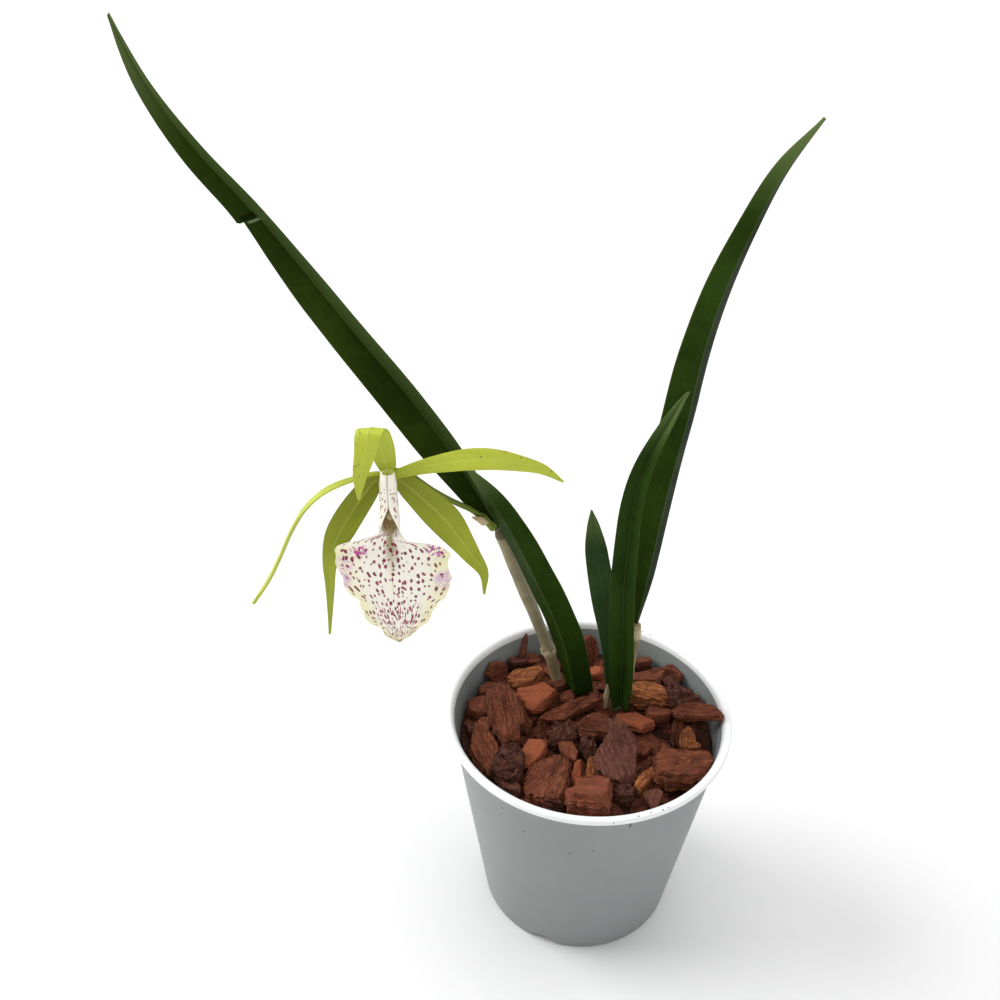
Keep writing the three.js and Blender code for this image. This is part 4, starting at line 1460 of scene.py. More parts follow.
    def _broken(self, chip: Chip, local: Array, number: int) -> Array:
        """Breaks a block up: layers step back at its sides, fibres stand up on its faces.

        Args:
            chip: the chip.
            local: the block's places in mm.
            number: its place in the heap, which sets its own unevenness.

        Returns:
            The moved places.
        """
        seed = 17.3 * number + 5.0
        x, y, z = local.T
        length, width, thickness = chip.size
        rough = chip.kind.rough
        flat = np.column_stack([x, y, 0 * x])
        ridge = 0.5 - np.abs(bumps(local, (0.09, 0.95, 0.5), seed)) * 2
        ridge = ridge + 0.5 * (0.5 - np.abs(bumps(local, (0.2, 2.1, 1.0), seed + 3)) * 2)
        swell = bumps(flat, (0.16, 0.24, 1), seed + 9)
        layer = bumps(local, (0.07, 0.10, 1.6), seed + 21)
        steps = np.floor(bumps(flat, (0.15, 0.34, 1), seed + 33) * 3.2) / 3.2
        reach = np.hypot(x / length, y / width) * 2
        edge = eased(reach, 0.5, 0.8)
        side = 1 - eased(np.abs(z) / thickness, 0.36, 0.5)
        nick = bumps(flat, (0.45, 0.8, 1), seed + 44) + 0.6 * bumps(local, (1.1, 1.4, 0.8), seed)
        shrink = 1 + 0.11 * nick * edge + rough * side * edge * (0.14 * layer - 0.04)
        splinter = bumps(local, (0.02, 1.5, 1.2), seed + 51) * eased(np.abs(x) / length, 0.3, 0.45)
        out = local.copy()
        out[:, 0] = x * (shrink + 0.10 * splinter * rough)
        out[:, 1] = y * shrink
        face = np.sign(z) * eased(np.abs(z) / thickness, 0.30, 0.5)
        tilt = 0.13 * math.sin(7.7 * number) * x / length + 0.16 * math.cos(5.1 * number) * y / width
        lift = 0.32 * rough * ridge + 0.3 * swell + tilt * thickness * 1.6
        if chip.kind in (Break.LAYERED, Break.FIBROUS):
            lift = lift + 0.85 * steps
        if chip.kind is Break.WRINKLED:
            lift = lift + 1.3 * (0.5 - np.abs(bumps(local, (0.4, 0.5, 0.4), seed + 60)) * 2)
            out[:, 0] += 0.6 * bumps(local, (0.6, 0.6, 0.6), seed + 70)
            out[:, 1] += 0.6 * bumps(local, (0.6, 0.6, 0.6), seed + 80)
        out[:, 2] = z + face * lift
        if chip.kind is Break.CURVED:
            bowl = 1 - eased(reach, 0.35, 0.85)
            out[:, 2] += 1.2 * (y / width * 2) ** 2 - 0.6 - 1.7 * bowl * eased(face, 0.2, 1)
        return out


def add_grain(piece: Piece, places: Array, tint: float) -> None:
    """Stores the grain coordinates and the tint that the bark materials read.

    Args:
        piece: a piece of bark.
        places: its grain coordinates, one a point.
        tint: how dark it is, from 0 to 1.
    """
    grain = piece.data.attributes.new("grain", "FLOAT_VECTOR", "POINT")
    grain.data.foreach_set("vector", np.asarray(places, dtype=np.float32).ravel())
    shade = piece.data.attributes.new("tint", "FLOAT", "POINT")
    shade.data.foreach_set("value", np.full(len(places), tint, dtype=np.float32))


@dataclass
class BarkBed:
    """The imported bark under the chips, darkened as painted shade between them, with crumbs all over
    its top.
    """

    top: float = 66.5
    reach: float = 39.9
    depth: float = 14.0
    rings: int = 60
    segments: int = 160
    chips: float = 120000  # small chips for each square metre
    chip_size: float = 3.4  # usual half length, before it is stretched
    crumbs: float = 170000
    crumb_size: float = 1.1
    spread: float = 37.5  # how far from the middle they lie
    room: float = 40  # nothing reaches further than this
    seed: int = 7

    def build(self, finish: Material, brown: Material) -> Piece:
        """Makes the bed and scatters its small chips and crumbs.

        Args:
            finish: the material of the bed and its crumbs, dark as painted shade between the chips.
            brown: the material of the small chips.

        Returns:
            The bed.
        """
        shares = np.linspace(0, 1, self.rings + 1)[1:]
        angle = 2 * math.pi * np.arange(self.segments) / self.segments
        radius = shares[:, None] * self.reach
        flat = np.stack([radius * np.cos(angle), radius * np.sin(angle),
                         np.zeros((self.rings, self.segments))], axis=-1).reshape(-1, 3)
        height = 0.9 * bumps(flat, (0.10, 0.12, 1), 4.0) + 0.7 * bumps(flat, (0.35, 0.3, 1), 8.0)
        flat[:, 2] = self.top - 0.4 + height
        foot = flat[-self.segments:] * (0.94, 0.94, 0) + (0, 0, self.top - self.depth)
        middle = np.array([[0, 0, self.top - 0.4], [0, 0, self.top - self.depth]])
        points = np.vstack([flat, foot, middle])
        size = self.segments
        faces = [(face[0], *face[:0:-1]) for face in ring_faces(self.rings, size)]
        edge, low = (self.rings - 1) * size, self.rings * size
        for j in range(size):
            k = (j + 1) % size
            faces.append((edge + j, low + j, low + k, edge + k))
            faces.append((j, k, len(points) - 2))
            faces.append((low + k, low + j, len(points) - 1))
        piece = mesh_piece("bark_bed_top", points, faces)
        # Painted shade: the bed is darkened further, so the gaps between the chips look shaded.
        add_grain(piece, points, 0.75)
        sizes = {"Chips per square metre": float(self.chips), "Chip size": self.chip_size * MM,
                 "Crumbs per square metre": float(self.crumbs), "Crumb size": self.crumb_size * MM,
                 "Reach": self.spread * MM, "Room": self.room * MM, "Seed": self.seed}
        piece = baked(piece, self._crumbs(sizes, finish, brown), sizes)
        return dress(piece, None, "bark_dark", "bark_bed")

    def _crumbs(self, sizes: dict[str, float | int], finish: Material, brown: Material) -> Tree:
        """Builds the tree that scatters chips and crumbs of bark over the bed.

        Args:
            sizes: its inputs, in metres.
            finish: the material of the bed and its crumbs.
            brown: the material of the small chips.

        Returns:
            The geometry node tree.
        """
        graph, entry, leave = geometry_tree("Bark crumbs", sizes)
        kinds = self._splinters(graph)
        chips = self._scatter(graph, entry, kinds, "Chips per square metre", "Chip size", 1)
        crumbs = self._scatter(graph, entry, kinds, "Crumbs per square metre", "Crumb size", 5)
        both = graph.add("GeometryNodeJoinGeometry")
        for geometry, material in ((entry.outputs["Geometry"], finish), (chips, brown),
                                   (crumbs, finish)):
            dressed = graph.add("GeometryNodeSetMaterial", {"Geometry": geometry, "Material": material})
            graph.link(dressed.outputs[0], both.inputs[0])
        graph.link(both.outputs[0], leave.inputs[0])
        return graph.tree

    def _splinters(self, graph: Graph) -> Socket:
        """Makes six angular splinters to scatter.

        Args:
            graph: the tree to add to.

        Returns:
            The splinters, as one instance each.
        """
        kinds = graph.add("GeometryNodeJoinGeometry")
        place = graph.add("GeometryNodeInputPosition").outputs[0]
        for number in range(6):
            ball = graph.add("GeometryNodeMeshIcoSphere", {"Radius": 1.0, "Subdivisions": 2})
            push = graph.add("FunctionNodeRandomValue", {
                0: (-0.55, -0.55, -0.55), 1: (0.55, 0.55, 0.55), "Seed": 20 + number},
                data_type="FLOAT_VECTOR")
            moved = graph.add("GeometryNodeSetPosition",
                              {"Geometry": ball.outputs[0], "Offset": push.outputs[0]})
            hull = graph.add("GeometryNodeConvexHull", {0: moved.outputs[0]})
            grained = graph.add("GeometryNodeStoreNamedAttribute", {
                "Geometry": hull.outputs[0], "Name": "grain",
                "Value": graph.vector("MULTIPLY", place, (2.6, 2.0, 1.6))},
                data_type="FLOAT_VECTOR", domain="POINT")
            single = graph.add("GeometryNodeGeometryToInstance", {0: grained.outputs[0]})
            graph.link(single.outputs[0], kinds.inputs[0])
        return kinds.outputs[0]

    def _scatter(self, graph: Graph, entry: Node, kinds: Socket, density: str, size: str,
                 seed: int) -> Socket:
        """Scatters splinters of one size over the bed.

        Args:
            graph: the tree to add to.
            entry: the tree's input node.
            kinds: the splinters to choose from.
            density: name of the input with their number per square metre.
            size: name of the input with their usual half length.
            seed: sets their places and turns.

        Returns:
            The scattered splinters, as real geometry.
        """
        up = graph.add("ShaderNodeSeparateXYZ", {
            0: graph.add("GeometryNodeInputNormal").outputs[0]}).outputs[2]
        place = graph.add("GeometryNodeInputPosition").outputs[0]
        far = graph.length(graph.vector("MULTIPLY", place, (1, 1, 0)))
        room = graph.minus(entry.outputs["Reach"], entry.outputs[size])
        inside = graph.times(graph.math("LESS_THAN", far, room), graph.math("GREATER_THAN", up, 0.3))
        thick = graph.times(inside, entry.outputs[density])
        points = graph.add("GeometryNodeDistributePointsOnFaces", {
            "Mesh": entry.outputs["Geometry"], "Density": thick,
            "Seed": graph.plus(entry.outputs["Seed"], float(seed))})
        turn = graph.add("FunctionNodeRandomValue", {
            0: (-0.55, -0.55, 0.0), 1: (0.55, 0.55, 2 * math.pi), "Seed": seed + 1},
            data_type="FLOAT_VECTOR")
        shape = graph.add("FunctionNodeRandomValue", {
            0: (0.6, 0.34, 0.16), 1: (1.5, 0.8, 0.42), "Seed": seed + 2}, data_type="FLOAT_VECTOR")
        scale = graph.add("ShaderNodeVectorMath", {0: shape.outputs[0]}, operation="SCALE")
        graph.link(entry.outputs[size], scale.inputs["Scale"])
        euler = graph.add("FunctionNodeEulerToRotation", {0: turn.outputs[0]})
        laid = graph.add("GeometryNodeInstanceOnPoints", {
            "Points": points.outputs["Points"], "Instance": kinds, "Pick Instance": True,
            "Rotation": euler.outputs[0], "Scale": scale.outputs[0]})
        tint = graph.add("FunctionNodeRandomValue", {2: 0.0, 3: 1.0, "Seed": seed + 3},
                         data_type="FLOAT")
        tinted = graph.add("GeometryNodeStoreNamedAttribute",
                           {"Geometry": laid.outputs[0], "Name": "tint", "Value": tint.outputs[1]},
                           data_type="FLOAT", domain="INSTANCE")
        real = graph.add("GeometryNodeRealizeInstances", {0: tinted.outputs[0]})
        share = graph.math("MINIMUM", graph.math("DIVIDE", entry.outputs["Room"], far), 1.0)
        spread = graph.add("ShaderNodeCombineXYZ", {0: share, 1: share, 2: 1.0}).outputs[0]
        kept = graph.add("GeometryNodeSetPosition", {
            "Geometry": real.outputs[0], "Position": graph.vector("MULTIPLY", place, spread)})
        facets = {0: kept.outputs[0], "Shade Smooth": False}
        return graph.add("GeometryNodeSetShadeSmooth", facets).outputs[0]


FLAT, FIBROUS, LAYERED, WRINKLED, CURVED = Break
CHIPS = (
    Chip("chip_over_rim", (35.2, 1.2, 75.6), (16, 7, 3.2), -24, (20, 0), FIBROUS, "brown", (-8,
          3.6, -4.5, 4.4, -0.6, 3.1, 3.8, 0.9, 6.8, -1, 8, -3, 6.9, -4.8, 3.8, -4.2, -0.6, -2.6, -5.1,
          -1.3, -7.6, 0.9)),
    Chip("chip_long_slanted", (-4.4, 5.9, 70.6), (21, 6, 3.4), 29, (4, 10), FIBROUS, "brown",
         (-10.5, -3.7, -8.6, -1.8, -3.8, 0.9, 1.3, 3.5, 7, 5.9, 9.4, 5.1, 8.9, 3.5, 1.3, -0.9, -2.5,
          -3.7, -5.7, -4.6)),
    Chip("chip_big_layered", (8.5, -13.5, 71), (25, 11, 6), -78, (-14, 6), LAYERED, "dark_purple",
         (-2.2, 11.6, 1.3, 11, 3.8, 8.2, 5.7, 4.8, 6, 1.5, 5.1, -1, 5.4, -5.4, 4.1, -9, 3.2, -13.6, 1,
          -11, -4.1, -8.4, -6.4, -5.4, -6.7, -1.8, -5.4, 1, -3.5, 4.3, -1.9, 6.8)),
    Chip("chip_front_orange", (-0.6, -29, 71), (14, 13, 6), 10, (0, -18), FLAT, "orange_flecked",
         (-7, -3.9, -3.8, -0.9, -4.1, 3.5, -1.3, 6.1, 3.2, 7, 7.1, 5.3, 6.7, 0.9, 5.1, -6.6, 1.9, -7.6,
          -3.2, -7.3, -6.4, -5.7)),
    Chip("chip_rectangular", (28.4, -19, 71.4), (18, 12, 6.4), 4, (2, -6), LAYERED, "brown",
         (-8.4, -4.4, -8, 3, -5.9, 5.7, 1.9, 6, 8.6, 4.8, 9.2, 0.9, 7.6, -2.6, 2.2, -5.7, -3.2, -5.7)),
    Chip("chip_big_oval", (-25.2, 2.6, 70.6), (22, 13, 6), 102, (8, 4), LAYERED, "brown", (-3, 11,
          0.5, 10.8, 2.5, 7, 5, 3, 6.7, 0, 6, -3.5, 3.8, -5, 3.4, -10, -1.5, -11, -3.2, -7, -5.5, -4,
          -6.8, 3.5, -5.8, 8.5)),
    Chip("chip_orange_right", (16.4, 1.6, 70.2), (12, 11, 2.6), -20, (6, -22), FLAT, "orange",
         (-6.4, 5.3, -3.2, 4.4, -0.3, 6.3, 1.6, 3.5, 3.5, 2.2, 5.1, -1.3, 0.3, -5.3, -1.3, -3.5, -3.5,
          -2.6, -4.8, 0)),
    Chip("chip_orange_left", (-14.2, 12.8, 69.8), (12, 14, 3.4), 14, (4, -16), FLAT, "orange",
         (-7.2, 4.3, -1.5, 8.4, 1, 7.2, 4.8, 1.9, 2.7, -2.3, 0.4, -6.6, -3.4, -6.6, -6.2, -4, -7.4, 0)),
    Chip("chip_pointed", (-4.4, -22.6, 71.8), (11, 3, 2), 80, (62, 0), FLAT, "orange"),
    Chip("chip_curved", (2.4, -0.8, 70), (12, 10, 3), -12, (0, -10), CURVED, "brown", (-6.2, 0.2,
          -4.3, 3.7, -0.4, 5.4, 4, 4.6, 6.2, 1.1, 5.9, -2.5, 4, -5.1, -0.4, -5.5, -4.3, -4.2)),
    Chip("chip_textured", (20.6, 13.8, 70), (14, 11, 5.4), -30, (6, -12), FIBROUS, "golden",
         (-6.4, 4.4, -2.9, 6.1, 1.6, 4.4, 5.1, 0.9, 7, -4.4, 3.5, -5.7, -1, -4.4, -4.5, -3.5, -6.7, 0)),
    Chip("chip_polygon", (-16.6, -12.6, 69.8), (8, 12, 3.4), 30, (6, -14), FLAT, "orange", (-4,
          0.9, -1.5, 5.7, 1.4, 6.1, 3.9, 5.7, 3.3, 0.9, 1.4, -3.1, -1.5, -6.1, -3.4, -5.3)),
    Chip("chip_upright_right", (31.4, -5.8, 70.4), (9, 6, 4.4), 75, (50, 0), FIBROUS, "golden"),
    Chip("chip_wedge", (16.8, -22.4, 69.4), (10, 6, 3.4), 50, (6, -6), FIBROUS, "golden", (-3.5,
          -3.1, -2.2, 0.9, 0.6, 3.9, 3.5, 5.3, 3.2, 1.8, 0, -2.2, -2.2, -5.3)),
    Chip("chip_front_left", (-12.6, -24, 69.4), (14, 18, 5.6), 60, (4, -8), LAYERED, "brown",
         (-7.3, 1.3, -3.8, 6.1, 0.6, 8, 5.4, 8.6, 6.7, 5.4, 5.7, -2.2, 5.1, -6.6, 2.5, -8.4, -3.2, -7,
          -6.1, -5.3)),
    Chip("chip_wrinkled", (-25, -18.6, 69.8), (10, 13, 7), 20, (0, 0), WRINKLED, "dark_flecked",
         (-4.9, -1.8, -3.3, 3.5, -0.8, 6.1, 1.8, 7, 4.3, 4.4, 4.6, 0, 3.7, -4.4, 1.1, -6.2, -2, -5.3)),
    Chip("chip_middle", (-7.6, -3.4, 69), (12, 8, 4.6), 32, (0, 0), WRINKLED, "dark_flecked"),
    Chip("chip_light_left", (-19.2, 22.4, 69), (12, 8, 4), 20, (6, -8), FIBROUS, "golden", (-6.2,
          -0.6, -4.6, 2.5, 0.5, 3.8, 4.3, 4.6, 5.9, 2.9, 4.3, -0.2, 2.4, -2.8, -0.8, -4.4, -3.9, -3.7)),
    Chip("chip_long_flat", (-29, 16.8, 69), (10, 6, 3), -6, (0, -4), LAYERED, "brown", (-5.4, 0.9,
          -3.2, 2.8, 1, 3.1, 4.5, 1.3, 4.8, -0.4, 1, -0.9, -2.2, -3.5, -5.1, -2.6)),
    Chip("chip_left_wall", (-34, 7.6, 68.8), (9, 8, 4.6), 10, (0, 0), LAYERED, "brown", (-4, 2.2,
          -2.4, 3.9, 1.4, 4.4, 4.6, 3.5, 3.6, 0, 4.3, -3.9, 0.1, -4.2, -1.8, -2.6, -3.8, -1.8)),
    Chip("chip_left_diagonal", (-31.6, -8.6, 68.6), (24, 8, 4.4), -66, (0, 8), FIBROUS, "brown",
         (-4.2, 4.4, -3.6, 10, -2.2, 11.4, 0.6, 11, 1, 5, 3.2, -0.4, 4.5, -4.4, 3.5, -7.9, 0.8, -11,
          -2.7, -7.5, -4.6, -2.6)),
    Chip("chip_rear_flat", (-17.8, 32.6, 68.4), (8, 5, 2.6), 8, (0, -6), FIBROUS, "brown", (-3.8,
          -0.6, -1.6, 2, 2.2, 2.7, 3.6, 0.7, 3.5, -1.9, 0.3, -2.4, -2.2, -1.7)),
    Chip("chip_standing_left", (-28.6, 25, 70), (9, 7, 3), 40, (0, 66), FIBROUS, "brown"),
    Chip("chip_sliver", (-20, 33.4, 73), (12, 2.4, 1.4), 60, (74, 0), FIBROUS, "dark_purple"),
    Chip("chip_rear_right", (21.6, 22.6, 69.4), (13, 8, 4), 12, (6, -12), FIBROUS, "brown", (-6.4,
          2.2, -0.3, 3.5, 6.4, 4.1, 5.4, 0.4, 2.9, -3.9, -1.6, -3.1, -5.7, -1.3)),
    Chip("chip_rough", (32.2, 11.4, 69.2), (12, 12, 5.4), -10, (0, -6), WRINKLED, "dark_flecked",
         (-6.6, 3.9, -4.5, 6.1, 1.3, 5.7, 3.9, 3.9, 5.4, 0.4, 5.4, -3.9, 1.9, -6.1, -2.5, -4.8, -5.7,
          -2.6)),
    Chip("chip_leaning", (30, 25.6, 70), (10, 6, 2.4), -50, (8, 58), FIBROUS, "brown"),
    Chip("chip_tall_back", (2.4, 34.6, 71.6), (13, 6, 3), 100, (64, 0), FIBROUS, "brown"),
    Chip("chip_triangle", (18.6, -30.4, 70.2), (7, 8, 2.2), 70, (8, 0), FLAT, "dark_purple",
         (-3.2, 2.2, 0.5, 3, 2.9, 2.6, 0.3, -4.8, -0.6, -3.5)),
    Chip("small_by_rim", (23.2, 5.2, 70.8), (9, 6, 2.6), -8, (0, -6), FLAT, "brown", (-4.2, 0.4,
          -2.4, 2.4, 2.2, 2.8, 4.4, 1, 3.4, -1.6, -1, -2.6, -3.4, -1.4)),
    Chip("small_below_middle", (-6.4, -11.6, 69.8), (8, 5.6, 3), 80, (0, 0), FLAT, "brown", (-2.8,
          4, 1.6, 3.4, 2.8, -0.8, 2.2, -4.6, -0.6, -2.6, -2.2, 0.4)),
    Chip("small_flakes", (0.2, -9.6, 69.2), (10, 6, 4), 84, (0, 0), WRINKLED, "dark_flecked"),
    Chip("small_front", (1, -19, 69.6), (11, 5.6, 3.6), 86, (8, 0), LAYERED, "golden", (-1, 5,
          1.6, 5.2, 2.8, 0, 2.4, -4.6, -2.6, -5, -2.2, -1)),
    Chip("small_below_oval", (-19.4, 1, 68.6), (7, 5, 3), 70, (0, 0), LAYERED, "brown"),
    Chip("small_by_cane", (-8.8, 19.4, 69.4), (6.6, 5, 2.4), 20, (0, 0), FLAT, "brown", (-3.6,
          0.2, -0.6, 2.8, 2.8, 1.2, 3.2, -1.4, 0, -2.6)),
    Chip("small_by_leaf", (-5.6, 13.4, 69), (5.6, 5, 3), 60, (0, 0), FIBROUS, "brown"),
    Chip("small_between", (4.2, 25, 69.6), (6, 5, 3), 30, (0, -16), FLAT, "orange"),
    Chip("small_between_low", (3.2, 15.4, 69), (6, 4.4, 3), 100, (0, 0), FIBROUS, "brown"),
    Chip("small_back_dark", (-22, 31, 68.6), (9, 5, 3), 10, (0, 0), FIBROUS, "dark_flecked"),
    Chip("small_back_light", (15.4, 33.4, 68.8), (8, 5, 3), -8, (0, -8), LAYERED, "brown"),
    Chip("small_back_right", (21, 31.4, 69.4), (6, 4.4, 3), 20, (0, 0), FLAT, "brown"),
    Chip("small_right_dark", (29.4, 20.6, 69), (8, 5.4, 4), -30, (0, 0), WRINKLED,
         "dark_flecked"),
    Chip("small_right_front", (16.6, -9.4, 69), (7, 5, 3), 10, (0, 0), LAYERED, "brown"),
    Chip("small_near_front", (10, -28, 69.4), (8, 5.4, 4), 20, (0, 0), WRINKLED, "dark_flecked"),
    Chip("small_over_corner", (32.6, -10.6, 72.4), (6, 3, 2), 24, (10, 0), FIBROUS, "golden"),
    Chip("small_front_left", (-24.4, -25.4, 69), (9, 4.4, 3), -28, (0, 0), LAYERED,
         "dark_purple"),
    Chip("small_at_front", (-11.4, -31.6, 69.6), (9, 4.4, 3), -10, (0, 0), WRINKLED,
         "dark_flecked"),
    Chip("small_at_left", (-36, -1, 68.6), (6, 4.4, 3), 80, (0, 0), FIBROUS, "dark_flecked"),
    Chip("small_beside_flake", (27.2, -4.4, 71.2), (10, 1.6, 1.2), 96, (72, 0), FIBROUS,
         "dark_purple"),
)


# The plant


CREASE = 0.681  # where the long leaf was once bent, as a share of its length
CREASE_SLANT = 0.011
CANE = ((-7.9, 22.3, 64.8), (-11.6, 21, 80.9), (-17.2, 19, 99.3), (-24.1, 17, 119.4), (-29, 14.2, 136))


def notched(half: Profile) -> Profile:
    """Narrows the long leaf towards the nick at its crease.

    Args:
        half: the half width without the nick.

    Returns:
        The half width with the nick.
    """
    bend = CREASE + CREASE_SLANT
    return lambda t: half(t) * (1 - 0.2 * eased(t, bend - 0.16, bend + 0.02) * (
        1 - eased(t, bend - 0.002, bend + 0.003)))


def leaf_crease(share: float) -> Warp:
    """Makes the step in a leaf that was once bent across.

    Args:
        share: where the bend is, as a share of the length.

    Returns:
        The extra lift in mm at shares along and across the leaf.
    """
    def warp(t: Array, u: Array) -> Array:
        """Gives the lift at some places.

        Args:
            t: their shares along the leaf.
            u: their shares across it, from -1 to 1.

        Returns:
            The lift in mm.
        """
        off = t - share - CREASE_SLANT * u
        above = 0.8 * np.exp(-np.maximum(off, 0) / 0.03) * eased(off, -0.003, 0.002)
        below = -0.5 * np.exp(-np.maximum(-off, 0) / 0.016) * (1 - eased(off, -0.003, 0.0))
        return (above + below) * eased(u, -0.75, -0.2) + 0.12 * np.sin(17 * t + 2 * u)

    return warp


def leaf_wave(phase: float) -> Warp:
    """Makes the slight unevenness of a leaf."""
    return lambda t, u: 0.16 * np.sin(14 * t + phase + 1.4 * u) + 0.1 * u * np.sin(31 * t + phase)



@dataclass
class Plant:
    """The rhizome, roots, canes, leaves and dry sheaths."""

    leaf_thickness: float = 1.5

    def leaves(self) -> list[Sheet]:
        """Lists the leaves, each with its midrib from its foot to its tip.

        Returns:
            The leaves.
        """
        thick = self.leaf_thickness
        first = along((0, 1.4), (0.07, 5), (0.24, 8.2), (0.5, 6.8), (0.62, 5.2), (0.86, 2.5),
                      (0.95, 1.2), (1, 0.3))
        outer = along((0, 1.4), (0.07, 5), (0.24, 8.2), (0.5, 7.2), (0.62, 6.1), (0.7, 4.8), (0.8, 4.3),
                      (0.9, 3), (0.96, 1.7), (1, 0.3))

        second = along((0, 5.4), (0.2, 6.4), (0.5, 5.7), (0.75, 4.4), (1, 0.3))
        third = along((0, 1.6), (0.12, 4.2), (0.35, 5.3), (0.55, 5.4), (0.75, 4.2), (0.9, 2.4),
                      (1, 0.3))
        third_left = along((0, 1.8), (0.1, 5.6), (0.3, 7.4), (0.5, 6.8), (0.75, 4.8), (0.9, 2.7),
                           (1, 0.3))
        fourth = along((0, 3.2), (0.15, 4.7), (0.4, 5), (0.7, 4.2), (0.88, 2.9), (0.96, 1.5), (1, 0.3))
        fourth_right = along((0, 4), (0.15, 5.6), (0.4, 5.2), (0.7, 4.2), (0.88, 2.9), (0.96, 1.5),
                             (1, 0.3))
        fifth = along((0, 1.7), (0.3, 3), (0.6, 4.1), (0.8, 3.7), (0.93, 2.1), (1, 0.4))
        return [
            Sheet("leaf_long_left",
                  [(-29.4, 14.2, 136.8), (-42.4, 12, 162.8), (-55.3, 9, 184.7), (-67.9, 5.8, 204.3),
                   (-79.4, 3, 222.3), (-90.3, 0, 238.8), (-101.1, -2.6, 253.5),
                   (-109.5, -5.3, 268.4), (-114.8, -8, 283.6)],
                  [(-0.1, -0.97, -0.2), (-0.1, -0.97, -0.2), (0.1, -0.99, -0.1)],
                  notched(outer), first, thick, fold=40, rib=-0.15, keel=0.5, bow=0.06,
                  warp=leaf_crease(CREASE), stations=260),
            Sheet("leaf_short_left",
                  [(-2.2, 16.1, 68.5), (-5.1, 14.5, 81.7), (-8.7, 13.1, 96.3),
                   (-18.1, 10.8, 121.6), (-24.7, 8.5, 137.6), (-33, 4.7, 155.3), (-39.5, 2, 166.3)],
                  [(-0.47, -0.87, -0.17), (-0.01, -0.96, -0.27)],
                  second, second, thick, fold=-25, rib=0.2, bow=-0.05, warp=leaf_wave(0.4)),
            Sheet("leaf_long_right",
                  [(14.2, 14.4, 101), (17.2, 15.6, 126.9), (19.7, 16.9, 150), (22.8, 18.4, 171.4),
                   (25.4, 20.4, 191.2), (29.3, 22.1, 209.7), (34.6, 22.8, 226.9),
                   (40.7, 23.4, 242.6), (49.2, 24, 256)],
                  [(0.2, -0.98, 0), (0.36, -0.93, 0), (0.13, -0.99, 0)],
                  third_left, third, thick, fold=-35, rib=0.22, bow=-0.05, warp=leaf_wave(1.9)),
            Sheet("leaf_front",
                  [(11.5, 10.4, 69.8), (10.7, 9.8, 88.4), (9.7, 9.5, 105.2), (8.9, 9.2, 121.2),
                   (9, 9, 136.4), (9.6, 8.8, 150.8), (12.1, 8.5, 163.9), (20.7, 8, 186.8)],
                  [(-0.28, -0.96, 0), (-0.32, -0.95, 0), (-0.66, -0.72, 0.2)],
                  fourth, fourth_right, thick, fold=40, rib=-0.15, keel=0.4, bow=0.05,
                  warp=leaf_wave(3.0)),
            Sheet("leaf_small_back",
                  [(9, 14.3, 69.4), (7, 15.8, 90.8), (4, 17.4, 107.5), (0.9, 19.1, 123.3),
                   (-1.6, 21, 138.5)],
                  [(0, -1, 0.1), (0, -1, 0.1)],
                  fifth, fifth, thick, fold=20, rib=-0.1, keel=0.3, warp=leaf_wave(4.2)),
        ]

    def stems(self) -> list[Stem]:
        """Lists the canes and the young shoot.

        Returns:
            The stems.
        """
        cane_swell = along((0, 1.75), (0.2, 1.8), (0.235, 2.2), (0.262, 2.1), (0.3, 1.8), (0.6, 2.05),
                           (0.9, 1.95), (0.965, 2.15), (1, 1.6))
        return [Stem("cane_old", CANE, cane_swell, stations=150, relief=0.14, seed=3.0),
                Stem("cane_buried", [(-1.8, 18.2, 65), (-2, 18, 66), (-2.2, 17.6, 67)],
                     along((0, 2.1), (1, 2.1)), stations=8, relief=0.1, seed=5.0),
                Stem("cane_right",
                     [(13.4, 13.8, 65.4), (13.5, 14.2, 76), (13.8, 14.6, 88), (14.2, 14.4, 100)],
                     along((0, 1.8), (0.5, 1.8), (0.9, 2.2), (1, 1.8)), relief=0.16, seed=7.0),
                Stem("shoot_young", [(10, 12.6, 65.4), (10.4, 12, 67), (10.8, 11.4, 69)],
                     along((0, 2), (1, 1.7)), stations=10, relief=0.06, seed=9.0),]

    def build(self, finishes: dict[str, Material]) -> None:
        """Makes and dresses every piece of the plant but its flower.

        Args:
            finishes: the materials by name.
        """
        greens = ("leaf_kinked", "leaf_blue", "leaf_right", "leaf_front", "leaf_pale")
        for number, (sheet, green) in enumerate(zip(self.leaves(), greens), start=1):
            dress(sheet.build(), finishes[green], "leaf", f"leaf_{number}")
        stands_for = {"cane_old": ("old_cane", "cane"), "cane_buried": ("short_cane", "cane"),
                      "cane_right": ("right_cane", "dry_sheath"), "shoot_young": ("new_shoot", "shoot")}
        for stem in self.stems():
            node, slot = stands_for[stem.name]
            dress(stem.build(), finishes[stem.name], slot, node)
        self._sheaths(finishes["paper"])
        for name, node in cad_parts.items():
            if name == "rhizome" or name.startswith("root_"):
                node.data.materials.clear()
                node.data.materials.append(finishes["root"])

    def _sheaths(self, paper: Material) -> None:
        """Makes the papery scale of the young shoot and the dry collar of the old cane.

        Args:
            paper: their material.
        """
        narrow = along((0, 1.3), (0.5, 1.2), (1, 0.3))
        scale = Sheet("sheath_shoot", [(7.2, 11, 68), (6.6, 10.2, 73), (6.6, 9.6, 79)],
                      [(0.5, -0.8, 0), (0.5, -0.8, 0)], narrow, narrow, 0.3, fold=10, stations=40,
                      warp=lambda t, u: 0.2 * np.sin(9 * t + 5 * u))
        dress(scale.build(), paper, "dry_sheath", "shoot_sheath")
        collar = self._collar()
        dress(collar, paper, "dry_sheath", "cane_sheath")

